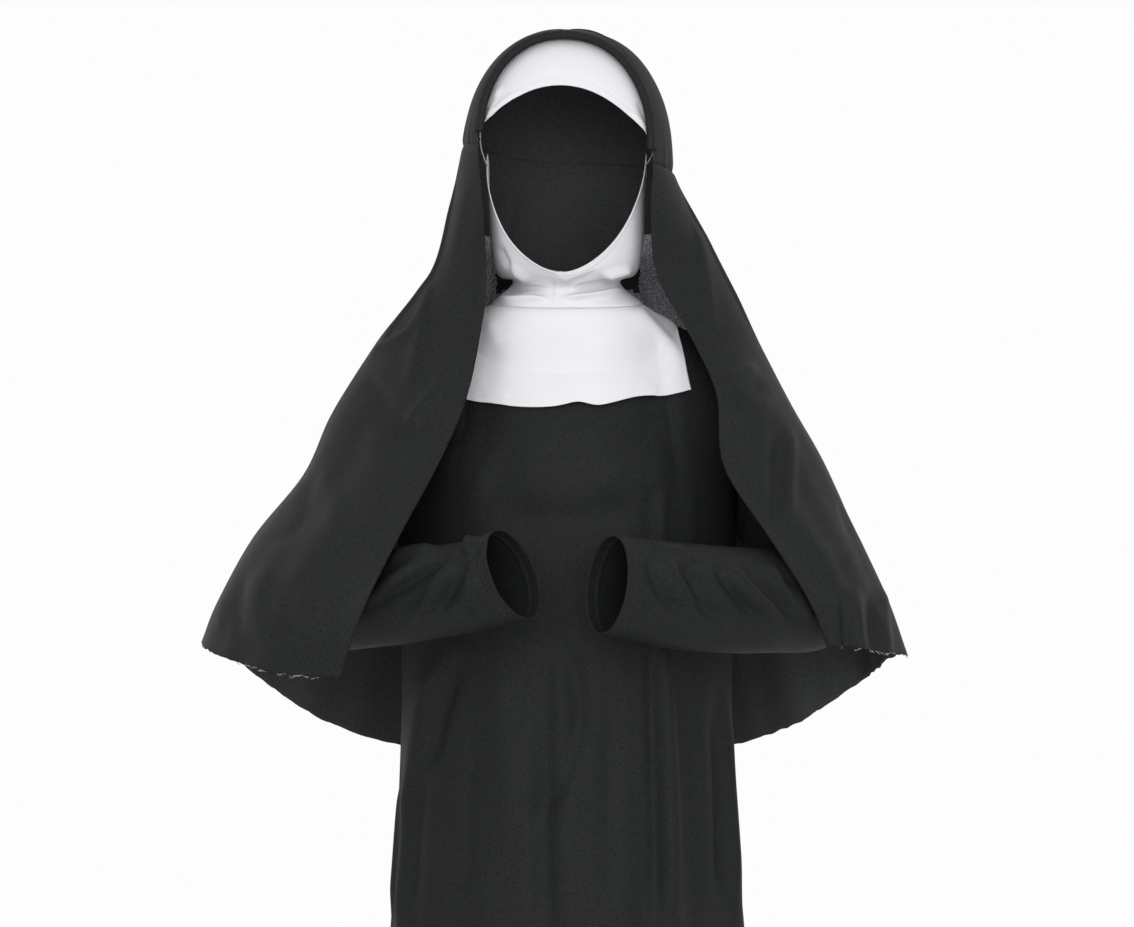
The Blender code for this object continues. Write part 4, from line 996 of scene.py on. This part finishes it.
def build_crown():
    columns, rows = 176, 52
    u, v = np.meshgrid(np.arange(columns) * 2.0 / columns, np.linspace(0.0, 1.0, rows) ** 0.9)
    points = crown_points(u, v)
    normals = grid_normals(points, CROWN_CENTRE, True)
    normals[0] = np.array([0.0, 0.0, 1.0])
    height = ripples(points, 0.07, 0.0004, 41) * soft_step((1.0 - v) / 0.2) * soft_step(v / 0.2)
    gathers = np.sin(2 * np.pi * (u * 21 + 0.8 * np.sin(2 * np.pi * u * 3)))
    height += 0.0006 * gathers * soft_step((v - 0.72) / 0.28) * ((u > 1.04) & (u < 1.96))
    height -= 0.0010 * np.exp(-(((1.0 - v) / 0.02) ** 2))
    points = points + height[..., None] * normals
    normals = grid_normals(points, CROWN_CENTRE, True)
    normals[0] = np.array([0.0, 0.0, 1.0])
    # The crown's inner faces all take the veil's lightened inside colour, painted light against the shade inside the
    # hood
    lined = np.ones(v.shape, dtype=int)
    finishes = [VEIL_KNIT, VEIL_INSIDE_PAINTED_LIGHT]
    return give(shell("veil_crown_cloth", points, normals, BLACK_CLOTH, finishes, ring=True, lined=lined),
                "veil_crown")


def build_roll():
    """Rolled casing of the veil, with its flat hem stitched along the back."""
    along, around = 170, 28
    shares = np.linspace(0.03, 0.97, along)
    middle = front_edge(shares)
    direction = unit(front_edge(shares + 0.01) - front_edge(shares - 0.01))
    out = unit(middle - CROWN_CENTRE)
    out = unit(out - direction * (out * direction).sum(axis=-1, keepdims=True))
    ahead = np.cross(direction, out)
    ahead = np.where(ahead[:, 1:2] > 0.0, -ahead, ahead)
    middle = middle + ahead * ROLL_HALF_WIDTH + out * ROLL_LIFT
    turn = np.arange(around) * 2.0 * np.pi / around
    cosine, sine = np.cos(turn)[None, :, None], np.sin(turn)[None, :, None]
    wrinkle = 1.0 + 0.05 * np.sin(shares * 150.0 + 2.0 * np.sin(shares * 37.0))[:, None, None] * (sine > 0.0)
    groove = 1.0 - 0.22 * np.exp(-(((cosine + 0.25) / 0.16) ** 2)) * (sine > 0.0)
    rings = middle[:, None] + ahead[:, None] * ROLL_HALF_WIDTH * cosine
    rings = rings + out[:, None] * ROLL_HALF_THICKNESS * sine * groove * wrinkle
    normals = unit(ahead[:, None] * cosine / ROLL_HALF_WIDTH + out[:, None] * sine / ROLL_HALF_THICKNESS)
    piece = give(shell("veil_roll_cloth", rings, normals, BLACK_CLOTH, [VEIL_KNIT], ring=True),
                 "veil_roll")
    column = int(np.argmin(np.abs(cosine[0, :, 0] + 0.25) + (sine[0, :, 0] < 0.0)))
    sewn = give(stitches("veil_roll_stitches", rings[:, column], out, 0.0026, 0.0014, 0.00020, BLACK_THREAD))
    return piece, sewn


# Headband

def head_front_y(x, z, inset):
    half_x, half_y, half_z = CROWN_HALF - inset
    left = 1.0 - np.abs(x / half_x) ** CROWN_ROUNDNESS - np.abs((z - CROWN_CENTRE[2]) / half_z) ** CROWN_ROUNDNESS
    return -half_y * np.maximum(left, 0.0) ** (1.0 / CROWN_ROUNDNESS)


def headband_points(u, v):
    turn = 0.5 * np.pi * u
    x = BAND_HALF_WIDTH * np.sin(turn)
    upper_z = BAND_END_Z + 0.010 + (BAND_TOP_HEIGHT - 0.010) * np.cos(turn)
    lower_z = BAND_BOTTOM_Z - BAND_BOTTOM_CURVE * x * x
    z = upper_z + (lower_z - upper_z) * v - BAND_TILT * x
    x = x * (0.955 + 0.045 * v)
    return stack(x, head_front_y(x, z, BAND_INSET), z)


def build_headband():
    u, v = np.meshgrid(np.linspace(-0.97, 0.97, 190), np.linspace(0.0, 1.0, 46))
    points = headband_points(u, v)
    inside = CROWN_CENTRE
    normals = grid_normals(points, inside)
    height = photo_creases(points, normals, BAND_CREASES)
    low_edge = np.linalg.norm(points - points[-1:], axis=-1)
    height += 0.0003 * soft_step((0.0085 - low_edge) / 0.0012) - 0.0004 * np.exp(-(((low_edge - 0.0085) / 0.001) ** 2))
    height += ripples(points, 0.05, 0.0002, 51)
    points = points + height[..., None] * normals
    normals = grid_normals(points, inside)
    piece = give(shell("headband_cloth", points, normals, WHITE_CLOTH, [WHITE_KNIT]), "headband")
    row = int(np.argmin(np.abs(low_edge[:, 95] - 0.0085)))
    sewn = give(stitches("headband_stitches", points[row], normals[row], 0.0024, 0.0012, 0.00018, WHITE_THREAD))
    return piece, sewn


# Wimple and bib

def wimple_points(u, v):
    """Wimple: u is the angle from the chin in degrees, v runs from the face edge to the seam with the bib."""
    turn = np.radians(u)
    sine, cosine = np.sin(turn), np.cos(turn)
    level = np.maximum(cosine, 0.0)
    behind = np.maximum(-cosine, 0.0)
    before = stack(FACE_MIDDLE_X * level + FACE_HALF_WIDTH * sine, EAR[0] + (CHIN[0] - EAR[0]) * level**0.9,
                   CHIN[1] + (EAR[1] - CHIN[1]) * (1.0 - level) ** 0.92)
    after = stack(FACE_HALF_WIDTH * sine, EAR[0] + (NAPE[0] - EAR[0]) * behind,
                  EAR[1] + (NAPE[1] - EAR[1]) * behind**0.7)
    face = np.where((cosine >= 0.0)[..., None], before, after)

    def ring(half_width, front, back, side_z, front_drop):
        reach = np.where(cosine >= 0.0, front, back)
        return stack(half_width * sine, -reach * cosine, side_z - front_drop * level)

    jaw_width, jaw_front, jaw_back, jaw_z, jaw_rise = JAW
    jaw = ring(jaw_width, jaw_front, jaw_back, jaw_z + jaw_rise * np.abs(sine), 0.0)
    rows = [face, jaw, ring(*NECK), ring(*COLLAR)]
    rows = [2 * rows[0] - rows[1], *rows, 2 * rows[-1] - rows[-2]]
    place = np.clip(v, 0.0, 1.0) * 3
    first = np.minimum(place.astype(int), 2)
    step = (place - first)[..., None]
    picked = []
    for offset in range(4):
        choices = [rows[number + offset] for number in range(3)]
        picked.append(np.where((first == 0)[..., None], choices[0],
                               np.where((first == 1)[..., None], choices[1], choices[2])))
    before, start, end, after = picked
    square = 2 * before - 5 * start + 4 * end - after
    cube = 3 * (start - end) + after - before
    return start + 0.5 * step * (end - before + step * (square + step * cube))


def build_wimple():
    columns = 220
    u, v = np.meshgrid(np.arange(columns) * 360.0 / columns, np.linspace(0.0, 1.0, 84))
    points = wimple_points(u, v)
    inside = stack(0.0, 0.0, points[..., 2])
    normals = grid_normals(points, inside, True)
    height = photo_creases(points, normals, WIMPLE_CREASES)
    face_edge = np.linalg.norm(points - points[:1], axis=-1)
    height += 0.0003 * soft_step((0.0070 - face_edge) / 0.0012)
    height -= 0.0004 * np.exp(-(((face_edge - 0.0070) / 0.001) ** 2))
    off_chin = (u + 180.0) % 360.0 - 180.0
    on_chin = np.exp(-((off_chin / 1.6) ** 2)) * (1.0 - soft_step((v - 0.86) / 0.1))
    height -= 0.0010 * on_chin
    height -= 0.0009 * np.exp(-(((1.0 - v) / 0.02) ** 2))
    height += ripples(points, 0.05, 0.0004, 61)
    points = points + height[..., None] * normals
    normals = grid_normals(points, inside, True)
    piece = give(shell("wimple_cloth", points, normals, WHITE_CLOTH, [WHITE_KNIT], ring=True),
                 "wimple")
    row = int(np.argmin(np.abs(face_edge[:, 0] - 0.0070)))
    edge_sewn = give(stitches("wimple_edge_stitches", points[row], normals[row], 0.0024, 0.0012, 0.00018,
                              WHITE_THREAD, closed=True))
    return piece, edge_sewn


def on_chest(x, z):
    """Points and normals of the habit's front above the armpits at places of the front view."""
    across, share = x / 0.17, np.full(x.shape, 0.3)
    step = 1e-4
    for _ in range(14):
        points = bodice(-1, across, share)
        miss_x, miss_z = x - points[..., 0], z - points[..., 2]
        by_across = (bodice(-1, across + step, share) - points) / step
        by_share = (bodice(-1, across, share + step) - points) / step
        whole = by_across[..., 0] * by_share[..., 2] - by_share[..., 0] * by_across[..., 2]
        change_across = (miss_x * by_share[..., 2] - by_share[..., 0] * miss_z) / whole
        change_share = (by_across[..., 0] * miss_z - miss_x * by_across[..., 2]) / whole
        across = across + np.clip(change_across, -0.15, 0.15)
        share = np.clip(share + np.clip(change_share, -0.15, 0.15), 0.0, 1.0)
    points = bodice(-1, across, share)
    along_across = bodice(-1, across + 1e-3, share) - bodice(-1, across - 1e-3, share)
    along_share = bodice(-1, across, np.minimum(share + 1e-3, 1.0)) - bodice(-1, across, np.maximum(share - 1e-3, 0))
    normals = unit(np.cross(along_across, along_share))
    return points, normals * np.where(normals[..., 1:2] < 0.0, 1.0, -1.0)


def bib_points(u, v):
    """Bib: u runs from -1 to 1 across it, v from the seam under the neck to the lower edge."""
    top = wimple_points(BIB_TURN * u, np.ones(u.shape))
    knee_x = (BIB_SHOULDER_X - 0.006) * np.sin(0.46 * np.pi * u)
    knee_z = -0.048 * np.cos(0.5 * np.pi * u)
    edge_x = BIB_HALF_WIDTH * u
    edge_z = smooth_value(BIB_EDGE, u)[..., 0]

    def laid(x, z):
        points, normals = on_chest(x, z)
        return points + normals * LAYER_GAP

    def on_way(share):
        return laid(knee_x + (edge_x - knee_x) * share, knee_z + (edge_z - knee_z) * share)

    knee = on_way(np.zeros(u.shape))
    beyond = on_way(np.full(u.shape, 0.4))
    first = top + stack(0.012 * np.sin(0.5 * np.pi * u), -0.012 * np.cos(0.5 * np.pi * u), -0.008)
    second = knee - unit(beyond - knee) * 0.012
    above = bezier(top, first, second, knee, np.clip(v / BIB_KNEE_SHARE, 0.0, 1.0))
    below = on_way(np.clip((v - BIB_KNEE_SHARE) / (1.0 - BIB_KNEE_SHARE), 0.0, 1.0))
    return np.where((v <= BIB_KNEE_SHARE)[..., None], above, below)


def build_bib():
    u, v = np.meshgrid(np.linspace(-1.0, 1.0, 170), np.linspace(0.0, 1.0, 76))
    points = bib_points(u, v)
    for _ in range(24):
        beside = points[:, :-2] + points[:, 2:]
        points[:, 1:-1] = 0.5 * points[:, 1:-1] + 0.25 * beside
    inside = points + np.array([0.0, 1.0, -0.5])
    normals = grid_normals(points, inside)
    height = photo_creases(points, normals, BIB_CREASES)
    height += 0.0006 + ripples(points, 0.07, 0.0004, 71)
    height *= soft_step(v / 0.06)
    low_edge = np.linalg.norm(points - points[-1:], axis=-1)
    height += 0.0003 * soft_step((0.005 - low_edge) / 0.0012)
    points = points + height[..., None] * normals
    normals = grid_normals(points, inside)
    piece = give(shell("wimple_bib_cloth", points, normals, WHITE_CLOTH, [WHITE_KNIT]), "wimple_bib")
    row = int(np.argmin(np.abs(low_edge[:, 85] - 0.005)))
    sewn = give(stitches("bib_edge_stitches", points[row], normals[row], 0.0022, 0.0014, 0.00018, WHITE_THREAD))
    return piece, sewn


def build_elastic(name, side):
    """Ribbed elastic loop from the headband's end to the wimple."""
    top = headband_points(np.array(side * ELASTIC_BAND_PLACE), np.array(1.0)) - np.array([0, 0, ELASTIC_BAND_GAP])
    foot = wimple_points(np.array([side * ELASTIC_WIMPLE_ANGLE]), np.zeros(1))[0]
    foot = foot + np.array([0, 0, ELASTIC_WIMPLE_GAP])
    out = unit(np.array([side, -0.25, 0.0]))
    wide = np.array([-out[1], out[0], 0.0])
    points = []
    cells, ribs = 14, 5
    for share in np.linspace(0.0, 1.0, cells + 1):
        middle = top + (foot - top) * share + out * ELASTIC_BOW * math.sin(math.pi * share)
        ring = []
        for across in np.linspace(-1.0, 1.0, 2 * ribs + 1):
            rib = ELASTIC_HALF_THICKNESS * (1.0 - 0.35 * (math.cos(ribs * math.pi * across) < 0.0))
            ring.append(middle + wide * across * ELASTIC_HALF_WIDTH + out * rib)
        for across in np.linspace(1.0, -1.0, 2 * ribs + 1):
            ring.append(middle + wide * across * ELASTIC_HALF_WIDTH - out * ELASTIC_HALF_THICKNESS)
        points.append(ring)
    points = np.array(points)
    rows, columns = points.shape[:2]
    index = np.arange(rows * columns).reshape(rows, columns)
    index = np.hstack([index, index[:, :1]])
    faces = np.stack([index[:-1, :-1], index[:-1, 1:], index[1:, 1:], index[1:, :-1]], axis=-1).reshape(-1, 4).tolist()
    faces += [index[0, :-1].tolist(), index[-1, :-1].tolist()]
    return give(mesh_object(name + "_loop", points.reshape(-1, 3), faces, [ELASTIC]), name)


# Stage

def area_light(name, place, target, size, power, colour):
    data = bpy.data.lights.new(name, "AREA")
    data.shape = "RECTANGLE"
    data.size, data.size_y = size
    data.energy = power
    data.color = colour
    lamp = bpy.data.objects.new(name, data)
    lamp.location = place
    way = np.array(target) - np.array(place)
    lamp.rotation_euler = (math.atan2(math.hypot(way[0], way[1]), -way[2]), 0.0, math.atan2(-way[0], way[1]))
    bpy.context.collection.objects.link(lamp)
    return lamp


def build_stage():
    scene = bpy.context.scene
    scene.view_settings.view_transform = "Standard"
    world = bpy.data.worlds.new("studio")
    scene.world = world
    world.use_nodes = True
    world.node_tree.nodes["Background"].inputs["Color"].default_value = (1.0, 1.0, 1.0, 1.0)
    world.node_tree.nodes["Background"].inputs["Strength"].default_value = 0.98
    half, floor_z = 4.0, HEM_Z - 0.080
    corners = [(-half, -half, floor_z), (half, -half, floor_z), (half, half, floor_z), (-half, half, floor_z)]
    mesh = bpy.data.meshes.new("floor")
    mesh.from_pydata(corners, [], [(0, 1, 2, 3)])
    floor_finish = bpy.data.materials.new("pale_floor")
    floor_finish.use_nodes = True
    floor_finish.node_tree.nodes["Principled BSDF"].inputs["Base Color"].default_value = (0.80, 0.80, 0.80, 1.0)
    floor_finish.node_tree.nodes["Principled BSDF"].inputs["Roughness"].default_value = 0.9
    mesh.materials.append(floor_finish)
    floor = bpy.data.objects.new("floor", mesh)
    bpy.context.collection.objects.link(floor)
    area_light("key", (-0.4, -3.6, 0.8), (0.0, 0.0, -0.2), (1.6, 1.4), 42.0, (1.0, 1.0, 1.0))
    area_light("fill", (0.9, -3.5, 0.2), (0.0, 0.0, -0.3), (1.4, 1.4), 30.0, (1.0, 1.0, 1.0))
    area_light("rim_left", (-2.0, 1.3, 0.5), (0.0, 0.0, -0.3), (0.8, 2.0), 4.0, (1.0, 1.0, 1.0))
    area_light("rim_right", (2.0, 1.3, 0.5), (0.0, 0.0, -0.3), (0.8, 2.0), 4.0, (1.0, 1.0, 1.0))
    camera_data = bpy.data.cameras.new("photo_camera")
    camera_data.sensor_width = SENSOR_WIDTH
    camera_data.lens = SENSOR_WIDTH * CAMERA_DISTANCE / (PHOTO_WIDTH * PIXEL_SIZE)
    camera = bpy.data.objects.new("photo_camera", camera_data)
    camera.location = (0.0, -CAMERA_DISTANCE, CAMERA_Z)
    camera.rotation_euler = (math.pi / 2, 0.0, 0.0)
    bpy.context.collection.objects.link(camera)
    scene.camera = camera


front, front_hem, _ = build_habit("habit_front", -1)
back, back_hem, _ = build_habit("habit_back", 1)
left_sleeve, left_cuff, _ = build_sleeve("sleeve_left", 1.0)
right_sleeve, right_cuff, _ = build_sleeve("sleeve_right", -1.0)
fall, fall_points, fall_normals = build_fall()
threads = build_hem_threads(fall_points, fall_normals)
crown = build_crown()
roll, roll_sewn = build_roll()
band, band_sewn = build_headband()
wimple, wimple_sewn = build_wimple()
bib, bib_sewn = build_bib()
elastics = [build_elastic("elastic_left", -1.0), build_elastic("elastic_right", 1.0)]

build_stage()
